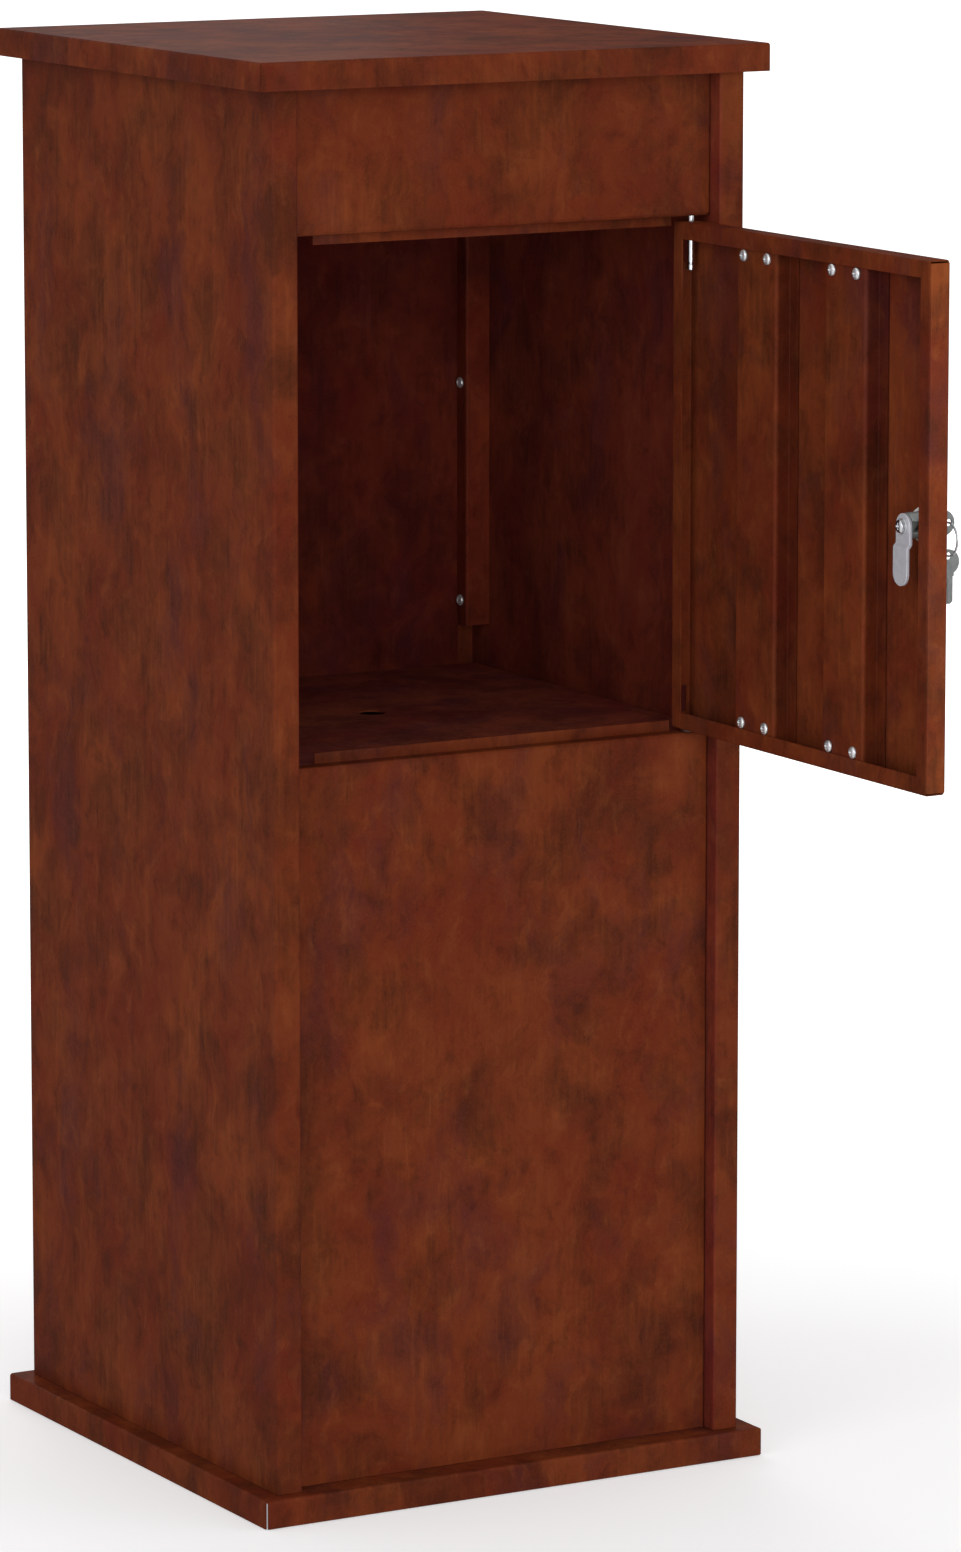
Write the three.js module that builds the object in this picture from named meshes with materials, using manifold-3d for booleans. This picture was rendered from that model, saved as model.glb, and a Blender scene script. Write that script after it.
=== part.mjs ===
// A free-standing rusty mailbox of folded sheet steel: a box on a tray-shaped foot, under a tray-shaped cap,
// with a lockable parcel door on one side and a letter slot with a flap on the other.
// Millimetres, +Z up. The door side faces -Y. The door stands open at 90 degrees.
import * as THREE from 'three';
import { mergeVertices } from 'three/addons/utils/BufferGeometryUtils.js';
import Module from 'manifold-3d';

const wasm = await Module();
wasm.setup();

// Sheet metal
const SHEET = 1.2;
const INSIDE_BEND = 0.8;
const BEND_STEPS = 3;
const ROUND_SIDES = 20;
const SCREW_SIDES = 12;
const SCREW_DOME_STEPS = 2;
const FIT_GAP = 0.3; // between pieces that touch
const CUT_PAST = 2; // how far a cutter runs past the sheet it cuts

// Body, cap and base
const OVERALL_HEIGHT = 1032;
const BODY_WIDTH = 380;
const BODY_DEPTH = 393;
const CAP_EDGE = 20;
const BASE_EDGE = 20;
const SIDE_OVERHANG = 15;
const FACE_OVERHANG = 11;
const POST_FACE = 20;
const POST_RETURN = 26;
const PANEL_RECESS = 12.5;
const PANEL_FLANGE = 12;
const FOOT_FLANGE = 24;
const FOOT_FLANGE_SHORTER = 96; // how much shorter than the side panel its foot flange is

// Door opening
const OPENING_BELOW_TOP = 123; // from the top of the cap
const OPENING_HEIGHT = 372.5;
const LEDGE_DEPTH = 13;
const STOP_LIP = 7.6;
const STOP_LIP_INSET = 25;

// Door
const DOOR_THICKNESS = 16;
const DOOR_RIM = 12.5;
const DOOR_BOTTOM_GAP = 2;
const DOOR_TOP_GAP = 4;
const DOOR_HINGE_GAP = 2.3;
const DOOR_FREE_GAP = 1;
const DOOR_STOP_GAP = 0.6;
const WALL_NOTCH_FROM_END = 11;
const WALL_NOTCH_LENGTH = 19;
const WALL_NOTCH_WIDTH = 10.5;
const WALL_NOTCH_FROM_RIM = 1.8;

// Hinge pins
const PIN_RADIUS = 2.6;
const PIN_RUNNING_GAP = 0.35;
const PIN_FROM_DOOR_EDGE = 11.5;
const PIN_BEYOND_LEDGE = 5;
const UPPER_PIN_BELOW_DOOR_TOP = 35;
const UPPER_PIN_GROOVE_UP = 4.5;
const UPPER_PIN_GROOVE = 1;
const UPPER_PIN_GROOVE_DEPTH = 0.5;
const LOWER_PIN_HEAD_RADIUS = 4.4;
const LOWER_PIN_HEAD = 2;
const HINGE_WASHER_RADIUS = 6;

// Door ribs
const RIB_FACE = 52;
const RIB_FOOT = 11;
const RIB_PLACES = [0.33, 0.674]; // shares of the door's width, from its hinge edge
const RIB_SCREW_SPACING = 31.3;
const RIB_SCREW_FROM_DOOR_END = 17;
const RIB_TAB_WIDTH = 44;
const RIB_TAB_LENGTH = 26;

// Pan head screws
const SCREW_HEAD_RADIUS = 4.2;
const SCREW_HEAD_HEIGHT = 2.6;
const SCREW_SHANK_RADIUS = 2;
const SCREW_HOLE_GAP = 0.35;
const RIB_SCREW_LENGTH = 5.6;
const RAIL_SCREW_LENGTH = 8;
const BASE_SCREW_LENGTH = 9;
const RECESS_LENGTH = 4.2;
const RECESS_WIDTH = 0.9;
const RECESS_DEPTH = 1.3;

// Cam lock
const LOCK_FROM_FREE_EDGE = 27.5;
const BARREL_RADIUS = 9.3;
const BARREL_FLAT = 8.1;
const BARREL_FLANGE_RADIUS = 11.5;
const BARREL_FLANGE = 2.9;
const BARREL_BEYOND_RIM = 0.1;
const NUT_ACROSS_FLATS = 23;
const NUT_THICKNESS = 3.5;
const PLUG_RADIUS = 6.4;
const PLUG_PROUD = 0.4;
const PLUG_SQUARE = 6.3;
const PLUG_SQUARE_LENGTH = 2;
const CAM_WIDTH = 17.6;
const CAM_REACH = 41;
const CAM_THICKNESS = 2.2;
const CAM_JOGGLE_DOWN = 12.5;
const CAM_JOGGLE = 2.2;
const CAM_WASHER_RADIUS = 5.6;
const CAM_WASHER = 0.8;
const CAM_BOLT_HEAD_RADIUS = 4.6;
const CAM_BOLT_HEAD = 2.8;
const CAM_BOLT_RADIUS = 2;

// Keys and ring
const KEY_BOW_RADIUS = 8.8;
const KEY_THICKNESS = 1.8;
const KEY_HOLE_RADIUS = 2.5;
const KEY_HOLE_FROM_BOW_CENTRE = 4.2;
const KEY_NECK_WIDTH = 9;
const KEY_NECK_FROM_BOW_CENTRE = 9.9;
const KEY_BLADE_WIDTH = 7.2;
const KEY_TIP_BEFORE_PLUG_END = 1.3;
const KEYWAY_GAP = 0.4;
const RING_RADIUS = 11.5;
const RING_WIRE_RADIUS = 0.75;

// Shelf and its brackets
const SHELF_DROP = 1; // below the opening's lower edge
const SHELF_SIDE_GAP = 4.3;
const SHELF_FLANGE = 15;
const SHELF_HOLE_RADIUS = 10;
const SHELF_HOLE_TO_BACK = 4; // from the shelf's middle towards the slot side
const SHELF_BRACKET_LEG = 16;
const SHELF_BRACKET_INSET = 36; // from each edge of the shelf

// Corner rails
const RAIL_BOTTOM_ABOVE_SHELF = 31;
const RAIL_SIDE_LEG = 14.5;
const RAIL_SCREW_LOW = 50; // above the shelf
const RAIL_SCREW_SPACING = 167;
const RAIL_SCREW_FROM_PANEL = 6.5;
const POST_NOTCH_BELOW_SHELF = 36;

// Letter slot and flap
const SLOT_SIDE_MARGIN = 20; // from each post
const SLOT_HEIGHT = 36;
const SLOT_TOP_BELOW_CAP = 44; // below the cap's folded edge
const FLAP_PIN_RADIUS = 2;
const FLAP_PIN_ABOVE_SLOT = 17;
const FLAP_PIN_END_RADIUS = 3;
const FLAP_PIN_END = 1.5;
const FLAP_PANEL_GAP = 1;
const FLAP_BELOW_SLOT = 9;
const FLAP_BEYOND_SLOT = 5;
const FLAP_PULL = 8;
const FLAP_LUG_GAP = 1;
const FLAP_LUG_HEIGHT = 12;
const FLAP_LUG_BEYOND_PIN = 4;

// Fastening of cap and base
const ANCHOR_HOLE_RADIUS = 5;
const ANCHOR_HOLE_FROM_SIDE = 50;
const ANCHOR_HOLE_FROM_FACE = 56.5;
const FOOT_SCREW_FROM_FLANGE_END = 28.5;
const FOOT_SCREW_INSIDE_PANEL = 12;
const STUD_RADIUS = 2.5;
const STUD_LENGTH = 9;
const CAP_NUT_ACROSS_FLATS = 8;
const CAP_NUT_THICKNESS = 4;

// Places worked out from the sizes above
const OUTER_BEND = SHEET + INSIDE_BEND;
const MIDDLE_BEND = INSIDE_BEND + SHEET / 2;
const OPENING_TOP = OVERALL_HEIGHT - OPENING_BELOW_TOP;
const OPENING_BOTTOM = OPENING_TOP - OPENING_HEIGHT;
const CAP_WIDTH = BODY_WIDTH + 2 * SIDE_OVERHANG;
const CAP_DEPTH = BODY_DEPTH + 2 * FACE_OVERHANG;
const BODY_BOTTOM = BASE_EDGE + FIT_GAP;
const BODY_TOP = OVERALL_HEIGHT - SHEET - FIT_GAP;
const POST_INSIDE_X = BODY_WIDTH / 2 - POST_FACE;
const FOOT_FLANGE_HALF = (BODY_DEPTH - FOOT_FLANGE_SHORTER) / 2;
const PANEL_HALF_WIDTH = POST_INSIDE_X - FIT_GAP;
const DOOR_PANEL_Y = -BODY_DEPTH / 2 + PANEL_RECESS;
const SLOT_PANEL_Y = BODY_DEPTH / 2 - PANEL_RECESS;
const SHELF_TOP = OPENING_BOTTOM - SHELF_DROP;
const SHELF_HALF_WIDTH = BODY_WIDTH / 2 - SHEET - SHELF_SIDE_GAP;
const SHELF_FRONT_Y = DOOR_PANEL_Y + LEDGE_DEPTH + SHEET + FIT_GAP;
const SHELF_BACK_Y = SLOT_PANEL_Y - SHEET - FIT_GAP;
const SHELF_MIDDLE_Y = (SHELF_FRONT_Y + SHELF_BACK_Y) / 2;
const RAIL_BOTTOM = SHELF_TOP + RAIL_BOTTOM_ABOVE_SHELF;
const RAIL_MIDDLE_X = POST_INSIDE_X - FIT_GAP - SHEET / 2;
const RAIL_FRONT_Y = SLOT_PANEL_Y - SHEET - FIT_GAP - RAIL_SIDE_LEG;
const RAIL_SCREW_Y = SLOT_PANEL_Y - SHEET - RAIL_SCREW_FROM_PANEL;
const RAIL_SCREW_HEIGHTS = [0, 1].map((i) => SHELF_TOP + RAIL_SCREW_LOW + i * RAIL_SCREW_SPACING);
const CAP_EDGE_BOTTOM = OVERALL_HEIGHT - CAP_EDGE;
const SLOT_TOP = CAP_EDGE_BOTTOM - SLOT_TOP_BELOW_CAP;
const SLOT_BOTTOM = SLOT_TOP - SLOT_HEIGHT;
const SLOT_HALF_WIDTH = POST_INSIDE_X - SLOT_SIDE_MARGIN;
const FLAP_CURL = FLAP_PIN_RADIUS + PIN_RUNNING_GAP + SHEET / 2;
const FLAP_PIN_Y = SLOT_PANEL_Y + FLAP_PANEL_GAP + SHEET / 2 + FLAP_CURL;
const FLAP_PIN_Z = SLOT_TOP + FLAP_PIN_ABOVE_SLOT;
const FLAP_HALF_WIDTH = SLOT_HALF_WIDTH + FLAP_BEYOND_SLOT;
const FLAP_LUG_X = FLAP_HALF_WIDTH + FLAP_LUG_GAP;

// The pins stand just behind the recessed panels, and the closed door's rim stops in front of the lips.
const PIN_BEHIND_PANEL = SHEET + FIT_GAP + PIN_RADIUS;
const PIN_FROM_DOOR_RIM = LEDGE_DEPTH - DOOR_STOP_GAP - PIN_BEHIND_PANEL;

// The door's own frame: x = 0 and y = 0 on the pins, closed door along X, free edge at -x, inner side at +y
const DOOR_BOTTOM = OPENING_BOTTOM + DOOR_BOTTOM_GAP;
const DOOR_TOP = OPENING_TOP - DOOR_TOP_GAP;
const DOOR_WIDTH = 2 * POST_INSIDE_X - DOOR_HINGE_GAP - DOOR_FREE_GAP;
const DOOR_HINGE_X = PIN_FROM_DOOR_EDGE;
const DOOR_FREE_X = PIN_FROM_DOOR_EDGE - DOOR_WIDTH;
const DOOR_RIM_Y = PIN_FROM_DOOR_RIM;
const DOOR_OUTER_Y = DOOR_RIM_Y - DOOR_THICKNESS;
const DOOR_SKIN_INSIDE_Y = DOOR_OUTER_Y + SHEET;
const PIN_X = POST_INSIDE_X - DOOR_HINGE_GAP - PIN_FROM_DOOR_EDGE;
const PIN_Y = DOOR_PANEL_Y + PIN_BEHIND_PANEL;
const RIB_BOTTOM_Y = DOOR_SKIN_INSIDE_Y + FIT_GAP;
const RIB_TOP_Y = DOOR_RIM_Y - SHEET - FIT_GAP;
const RIB_TAB_TOP_Y = RIB_TOP_Y - SHEET - FIT_GAP;
const RIB_CENTRES_X = RIB_PLACES.map((place) => DOOR_HINGE_X - place * DOOR_WIDTH);
const RIB_SCREW_HEIGHTS = [DOOR_TOP - RIB_SCREW_FROM_DOOR_END, DOOR_BOTTOM + RIB_SCREW_FROM_DOOR_END];
const LOCK_X = DOOR_FREE_X + LOCK_FROM_FREE_EDGE;
const LOCK_Z = (DOOR_BOTTOM + DOOR_TOP) / 2;

// The lock's stack along the door's y
const FLANGE_BACK_Y = DOOR_OUTER_Y - FIT_GAP;
const FLANGE_FRONT_Y = FLANGE_BACK_Y - BARREL_FLANGE;
const BARREL_END_Y = DOOR_RIM_Y + BARREL_BEYOND_RIM;
const PLUG_END_Y = BARREL_END_Y + FIT_GAP;
const CAM_BOLT_TIP_Y = PLUG_END_Y + FIT_GAP;
const CAM_Y = PLUG_END_Y + FIT_GAP;
const CAM_WASHER_Y = CAM_Y + CAM_THICKNESS + FIT_GAP;
const CAM_BOLT_SEAT_Y = CAM_WASHER_Y + CAM_WASHER + FIT_GAP;
const KEY_BOW_Y = FLANGE_FRONT_Y - PLUG_PROUD - FIT_GAP - KEY_NECK_FROM_BOW_CENTRE;
const KEY_HOLE_Y = KEY_BOW_Y - KEY_HOLE_FROM_BOW_CENTRE;
const KEY_TIP_FROM_HOLE = PLUG_END_Y - KEY_TIP_BEFORE_PLUG_END - KEY_HOLE_Y;

// Finishes
const RUST = { color: 0x5a2a1b, roughness: 0.55, metalness: 0.35 };
const STEEL = { color: 0xc4c6c8, roughness: 0.28, metalness: 1 };
const CHROME = { color: 0xd8dadc, roughness: 0.12, metalness: 1 };

// A closed solid from a geometry whose shared corners are merged.
function solid(geometry) {
  const bare = geometry.clone();
  bare.deleteAttribute('normal');
  bare.deleteAttribute('uv');
  const merged = mergeVertices(bare, 1e-4);
  const vertProperties = merged.attributes.position.array;
  const triVerts = Uint32Array.from(merged.index.array);
  return new wasm.Manifold(new wasm.Mesh({ numProp: 3, vertProperties, triVerts }));
}

// The geometry of a solid.
function geometryOf(body) {
  const mesh = body.getMesh();
  const geometry = new THREE.BufferGeometry();
  geometry.setAttribute('position', new THREE.BufferAttribute(Float32Array.from(mesh.vertProperties), 3));
  geometry.setIndex(new THREE.BufferAttribute(Uint32Array.from(mesh.triVerts), 1));
  geometry.computeVertexNormals();
  return geometry;
}

function joined(...bodies) {
  return bodies.reduce((all, body) => all.add(body));
}

function without(body, ...cutters) {
  return cutters.reduce((rest, cutter) => rest.subtract(cutter), body);
}

// A box between two places on each axis, given in any order.
function block(xs, ys, zs) {
  const spans = [xs, ys, zs].map(([a, b]) => Math.abs(b - a));
  const middles = [xs, ys, zs].map(([a, b]) => (a + b) / 2);
  return solid(new THREE.BoxGeometry(...spans).translate(...middles));
}

// Turns a solid that stands along Y so that it runs along another axis.
function laidAlong(axis, geometry) {
  if (axis === 'x') geometry.rotateZ(-Math.PI / 2);
  if (axis === 'z') geometry.rotateX(Math.PI / 2);
  return geometry;
}

// A straight bar along an axis, between two places on it, at the other two coordinates given by at.
function bar(radius, axis, from, to, at = [0, 0, 0], sides = ROUND_SIDES) {
  const geometry = new THREE.CylinderGeometry(radius, radius, to - from, sides);
  geometry.translate(0, (from + to) / 2, 0);
  return solid(laidAlong(axis, geometry).translate(...at));
}

// A turned solid along an axis, from radius and height pairs that start and end on the axis.
function turned(profile, axis, sides = ROUND_SIDES) {
  const points = profile.map(([radius, height]) => new THREE.Vector2(radius, height));
  return solid(laidAlong(axis, new THREE.LatheGeometry(points, sides)));
}

// A drawing pushed out along X, Y or Z. Its own x and y lie along Y and Z, X and Z, or X and Y.
function pushed(shape, axis, from, to) {
  const geometry = new THREE.ExtrudeGeometry(shape, { depth: to - from, bevelEnabled: false });
  if (axis === 'x') {
    geometry.rotateX(Math.PI / 2).rotateZ(Math.PI / 2).translate(from, 0, 0);
  } else if (axis === 'y') {
    geometry.rotateX(Math.PI / 2).translate(0, to, 0);
  } else {
    geometry.translate(0, 0, from);
  }
  return solid(geometry);
}

// One side of a folded strip: the path moved sideways, with an arc at each bend.
// A path point is [x, y] or [x, y, bend radius at the middle of the sheet].
function stripSide(path, offset) {
  const corners = path.map(([x, y]) => new THREE.Vector2(x, y));
  const leftOf = (direction) => new THREE.Vector2(-direction.y, direction.x);
  return corners.flatMap((corner, i) => {
    const before = corners[i - 1];
    const after = corners[i + 1];
    if (!before || !after) {
      const direction = before ? corner.clone().sub(before) : after.clone().sub(corner);
      return [corner.clone().addScaledVector(leftOf(direction.normalize()), offset)];
    }
    const bend = path[i][2] ?? MIDDLE_BEND;
    const into = corner.clone().sub(before).normalize();
    const out = after.clone().sub(corner).normalize();
    const turn = Math.sign(into.cross(out));
    const angle = Math.acos(THREE.MathUtils.clamp(into.dot(out), -1, 1));
    const start = corner.clone().addScaledVector(into, -bend * Math.tan(angle / 2));
    const centre = start.clone().addScaledVector(leftOf(into), turn * bend);
    const radius = bend - turn * offset;
    const first = Math.atan2(start.y - centre.y, start.x - centre.x);
    return Array.from({ length: BEND_STEPS + 1 }, (_, k) => {
      const here = first + (turn * angle * k) / BEND_STEPS;
      return new THREE.Vector2(centre.x + radius * Math.cos(here), centre.y + radius * Math.sin(here));
    });
  });
}

// The section of a sheet folded along a path that runs through the middle of its thickness.
function strip(path, thickness = SHEET) {
  return new THREE.Shape([...stripSide(path, thickness / 2), ...stripSide(path, -thickness / 2).reverse()]);
}

// A plate with its four edges folded down. The corners stay open, as a folded tray's are.
function foldedTray(width, depth, edge, top) {
  const middle = top - SHEET / 2;
  const channel = (half) => strip([[-half, top - edge], [-half, middle], [half, middle], [half, top - edge]]);
  return joined(
    pushed(channel(depth / 2 - SHEET / 2), 'x', -width / 2 + OUTER_BEND, width / 2 - OUTER_BEND),
    pushed(channel(width / 2 - SHEET / 2), 'y', -depth / 2 + OUTER_BEND, depth / 2 - OUTER_BEND),
  );
}

function named(name, body, finish) {
  const mesh = new THREE.Mesh(geometryOf(body), new THREE.MeshStandardMaterial(finish));
  mesh.name = name;
  return mesh;
}

// A cutter for a round hole straight up through a sheet.
function uprightHole(radius, [x, y], from, to, sides = ROUND_SIDES) {
  return bar(radius, 'z', from - CUT_PAST, to + CUT_PAST, [x, y, 0], sides);
}

// The four places of the screws and studs that hold the body to its base and cap.
const FOOT_PLACES = [-1, 1].flatMap((side) =>
  [-1, 1].map((end) => [
    side * (BODY_WIDTH / 2 - FOOT_SCREW_INSIDE_PANEL),
    end * (FOOT_FLANGE_HALF - FOOT_SCREW_FROM_FLANGE_END),
  ]),
);

function baseTray() {
  const anchors = [-1, 1].flatMap((side) =>
    [-1, 1].map((end) => [
      side * (BODY_WIDTH / 2 - ANCHOR_HOLE_FROM_SIDE),
      end * (BODY_DEPTH / 2 - ANCHOR_HOLE_FROM_FACE),
    ]),
  );
  const plate = [BASE_EDGE - SHEET, BASE_EDGE];
  return without(
    foldedTray(CAP_WIDTH, CAP_DEPTH, BASE_EDGE, BASE_EDGE),
    ...anchors.map((place) => uprightHole(ANCHOR_HOLE_RADIUS, place, ...plate)),
    ...FOOT_PLACES.map((place) => uprightHole(SCREW_SHANK_RADIUS + SCREW_HOLE_GAP, place, ...plate)),
  );
}

// The cap is the same kind of tray, with four studs welded under it.
function topCap() {
  const underside = OVERALL_HEIGHT - SHEET;
  const stud = [underside - STUD_LENGTH, underside + SHEET / 2];
  return joined(
    foldedTray(CAP_WIDTH, CAP_DEPTH, CAP_EDGE, OVERALL_HEIGHT),
    ...FOOT_PLACES.map(([x, y]) => bar(STUD_RADIUS, 'z', ...stud, [x, y, 0])),
  );
}

// A side panel folded round both its corner posts, with a flange at its foot and at its head.
function sidePanel(side) {
  const wall = side * (BODY_WIDTH / 2 - SHEET / 2);
  const returnX = side * (POST_INSIDE_X + SHEET / 2);
  const face = BODY_DEPTH / 2 - SHEET / 2;
  const returnEnd = BODY_DEPTH / 2 - POST_RETURN;
  const section = strip([
    [returnX, -returnEnd],
    [returnX, -face],
    [wall, -face],
    [wall, face],
    [returnX, face],
    [returnX, returnEnd],
  ]);
  const flange = (from, to) =>
    block([wall - side * FOOT_FLANGE, wall], [-FOOT_FLANGE_HALF, FOOT_FLANGE_HALF], [from, to]);
  const shelfNotch = block(
    [side * (POST_INSIDE_X - CUT_PAST), side * (POST_INSIDE_X + SHEET + CUT_PAST)],
    [returnEnd - CUT_PAST, SLOT_PANEL_Y],
    [SHELF_TOP - POST_NOTCH_BELOW_SHELF, RAIL_BOTTOM],
  );
  const ends = FOOT_PLACES.filter(([x]) => x * side > 0);
  const screwHole = SCREW_SHANK_RADIUS + SCREW_HOLE_GAP;
  const studHole = STUD_RADIUS + SCREW_HOLE_GAP;
  return without(
    joined(
      pushed(section, 'z', BODY_BOTTOM, BODY_TOP),
      flange(BODY_BOTTOM, BODY_BOTTOM + SHEET),
      flange(BODY_TOP - SHEET, BODY_TOP),
    ),
    shelfNotch,
    ...ends.map((place) => uprightHole(screwHole, place, BODY_BOTTOM, BODY_BOTTOM + SHEET)),
    ...ends.map((place) => uprightHole(studHole, place, BODY_TOP - SHEET, BODY_TOP)),
    ...RAIL_SCREW_HEIGHTS.map((z) => railScrewHole(side, z)),
  );
}

// A hole through a post's return and the rail beside it.
function railScrewHole(side, z) {
  const middle = side * POST_INSIDE_X;
  const reach = SHEET + FIT_GAP + CUT_PAST;
  return bar(SCREW_SHANK_RADIUS + SCREW_HOLE_GAP, 'x', middle - reach, middle + reach, [0, RAIL_SCREW_Y, z]);
}

// A recessed panel above or below the door opening. It folds back into a ledge, which ends in the door's
// stop lip.
function doorSidePanel(plainEnd, openingEnd, towardOpening) {
  const face = DOOR_PANEL_Y + SHEET / 2;
  const lip = DOOR_PANEL_Y + LEDGE_DEPTH + SHEET / 2;
  const half = PANEL_HALF_WIDTH - SHEET / 2;
  const flangeEnd = DOOR_PANEL_Y + PANEL_FLANGE;
  const ledge = openingEnd - towardOpening * (SHEET / 2);
  const sides = strip([[-half, flangeEnd], [-half, face], [half, face], [half, flangeEnd]]);
  const profile = strip([
    [face, plainEnd],
    [face, ledge],
    [lip, ledge],
    [lip, openingEnd + towardOpening * STOP_LIP],
  ]);
  const sideSpan = [plainEnd, openingEnd - towardOpening * OUTER_BEND].sort((a, b) => a - b);
  const lipEnd = POST_INSIDE_X - STOP_LIP_INSET;
  const lipCut = (side) => block(
    [side * lipEnd, side * (PANEL_HALF_WIDTH + CUT_PAST)],
    [DOOR_PANEL_Y + LEDGE_DEPTH - INSIDE_BEND, lip + CUT_PAST],
    [openingEnd - towardOpening * (SHEET + CUT_PAST), openingEnd + towardOpening * (STOP_LIP + CUT_PAST)],
  );
  const pinHole = uprightHole(PIN_RADIUS + PIN_RUNNING_GAP, [PIN_X, PIN_Y], openingEnd, openingEnd);
  return without(
    joined(
      pushed(sides, 'z', ...sideSpan),
      pushed(profile, 'x', -PANEL_HALF_WIDTH + OUTER_BEND, PANEL_HALF_WIDTH - OUTER_BEND),
    ),
    lipCut(-1),
    lipCut(1),
    pinHole,
  );
}

// The recessed panel opposite the door, with the letter slot and the two lugs that hold the flap's rod.
function slotSidePanel() {
  const plate = block(
    [-PANEL_HALF_WIDTH, PANEL_HALF_WIDTH],
    [SLOT_PANEL_Y - SHEET, SLOT_PANEL_Y],
    [BODY_BOTTOM, BODY_TOP],
  );
  const lug = (side) => block(
    [side * FLAP_LUG_X, side * (FLAP_LUG_X + SHEET)],
    [SLOT_PANEL_Y - SHEET / 2, FLAP_PIN_Y + FLAP_LUG_BEYOND_PIN],
    [FLAP_PIN_Z - FLAP_LUG_HEIGHT / 2, FLAP_PIN_Z + FLAP_LUG_HEIGHT / 2],
  );
  const reach = FLAP_LUG_X + SHEET + CUT_PAST;
  return without(
    joined(plate, lug(-1), lug(1)),
    block(
      [-SLOT_HALF_WIDTH, SLOT_HALF_WIDTH],
      [SLOT_PANEL_Y - SHEET - CUT_PAST, SLOT_PANEL_Y + CUT_PAST],
      [SLOT_BOTTOM, SLOT_TOP],
    ),
    bar(FLAP_PIN_RADIUS + PIN_RUNNING_GAP, 'x', -reach, reach, [0, FLAP_PIN_Y, FLAP_PIN_Z]),
  );
}

// The flap: a plate curled round its rod at the top and folded out at the bottom as a finger pull.
function mailFlap() {
  const plate = FLAP_PIN_Y - FLAP_CURL;
  const bottom = SLOT_BOTTOM - FLAP_BELOW_SLOT + SHEET / 2;
  const section = strip([
    [FLAP_PIN_Y - SHEET / 2, FLAP_PIN_Z - FLAP_CURL],
    [FLAP_PIN_Y + FLAP_CURL, FLAP_PIN_Z - FLAP_CURL, FLAP_CURL],
    [FLAP_PIN_Y + FLAP_CURL, FLAP_PIN_Z + FLAP_CURL, FLAP_CURL],
    [plate, FLAP_PIN_Z + FLAP_CURL, FLAP_CURL],
    [plate, bottom],
    [plate + FLAP_PULL, bottom],
  ]);
  return pushed(section, 'x', -FLAP_HALF_WIDTH, FLAP_HALF_WIDTH);
}

// The flap's rod, with its two ends peened over outside the lugs.
function flapPin() {
  const lugOutside = FLAP_LUG_X + SHEET + FIT_GAP;
  return joined(
    bar(FLAP_PIN_RADIUS, 'x', -lugOutside, lugOutside),
    bar(FLAP_PIN_END_RADIUS, 'x', -lugOutside - FLAP_PIN_END, -lugOutside),
    bar(FLAP_PIN_END_RADIUS, 'x', lugOutside, lugOutside + FLAP_PIN_END),
  ).translate([0, FLAP_PIN_Y, FLAP_PIN_Z]);
}

function shelf() {
  const depth = SHELF_BACK_Y - SHELF_FRONT_Y;
  const tray = foldedTray(2 * SHELF_HALF_WIDTH, depth, SHELF_FLANGE, SHELF_TOP)
    .translate([0, SHELF_MIDDLE_Y, 0]);
  const place = [0, SHELF_MIDDLE_Y + SHELF_HOLE_TO_BACK];
  return without(tray, uprightHole(SHELF_HOLE_RADIUS, place, SHELF_TOP - SHEET, SHELF_TOP, 2 * ROUND_SIDES));
}

// An angle inside a side panel, for the shelf to stand on.
function shelfBracket(side) {
  const wall = side * (BODY_WIDTH / 2 - SHEET - FIT_GAP - SHEET / 2);
  const ledge = SHELF_TOP - SHELF_FLANGE - FIT_GAP - SHEET / 2;
  const section = strip([
    [wall, ledge - SHELF_BRACKET_LEG],
    [wall, ledge],
    [wall - side * SHELF_BRACKET_LEG, ledge],
  ]);
  return pushed(section, 'y', SHELF_FRONT_Y + SHELF_BRACKET_INSET, SHELF_BACK_Y - SHELF_BRACKET_INSET);
}

// An angle rail that closes the corner between the slot-side panel and a side panel.
function cornerRail(side) {
  const section = strip([
    [side * RAIL_MIDDLE_X, RAIL_FRONT_Y + RAIL_SIDE_LEG],
    [side * RAIL_MIDDLE_X, RAIL_FRONT_Y + SHEET / 2],
    [side * (BODY_WIDTH / 2 - SHEET - FIT_GAP), RAIL_FRONT_Y + SHEET / 2],
  ]);
  return without(
    pushed(section, 'z', RAIL_BOTTOM, BODY_TOP),
    ...RAIL_SCREW_HEIGHTS.map((z) => railScrewHole(side, z)),
  );
}

// A pan head screw with a cross recess. The underside of its head is at z = 0, with the shank below.
function panHeadScrew(length) {
  const rim = SCREW_HEAD_HEIGHT * 0.35;
  const dome = Array.from({ length: SCREW_DOME_STEPS }, (_, k) => {
    const angle = (k / SCREW_DOME_STEPS) * (Math.PI / 2);
    return [SCREW_HEAD_RADIUS * Math.cos(angle), rim + (SCREW_HEAD_HEIGHT - rim) * Math.sin(angle)];
  });
  const head = turned([
    [0, -length],
    [SCREW_SHANK_RADIUS, -length],
    [SCREW_SHANK_RADIUS, 0],
    [SCREW_HEAD_RADIUS, 0],
    ...dome,
    [SCREW_HEAD_RADIUS / 3, SCREW_HEAD_HEIGHT],
    [0, SCREW_HEAD_HEIGHT],
  ], 'z', SCREW_SIDES);
  const depth = [SCREW_HEAD_HEIGHT - RECESS_DEPTH, SCREW_HEAD_HEIGHT + CUT_PAST];
  const long = [-RECESS_LENGTH / 2, RECESS_LENGTH / 2];
  const wide = [-RECESS_WIDTH / 2, RECESS_WIDTH / 2];
  return without(head, block(long, wide, depth), block(wide, long, depth));
}

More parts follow.
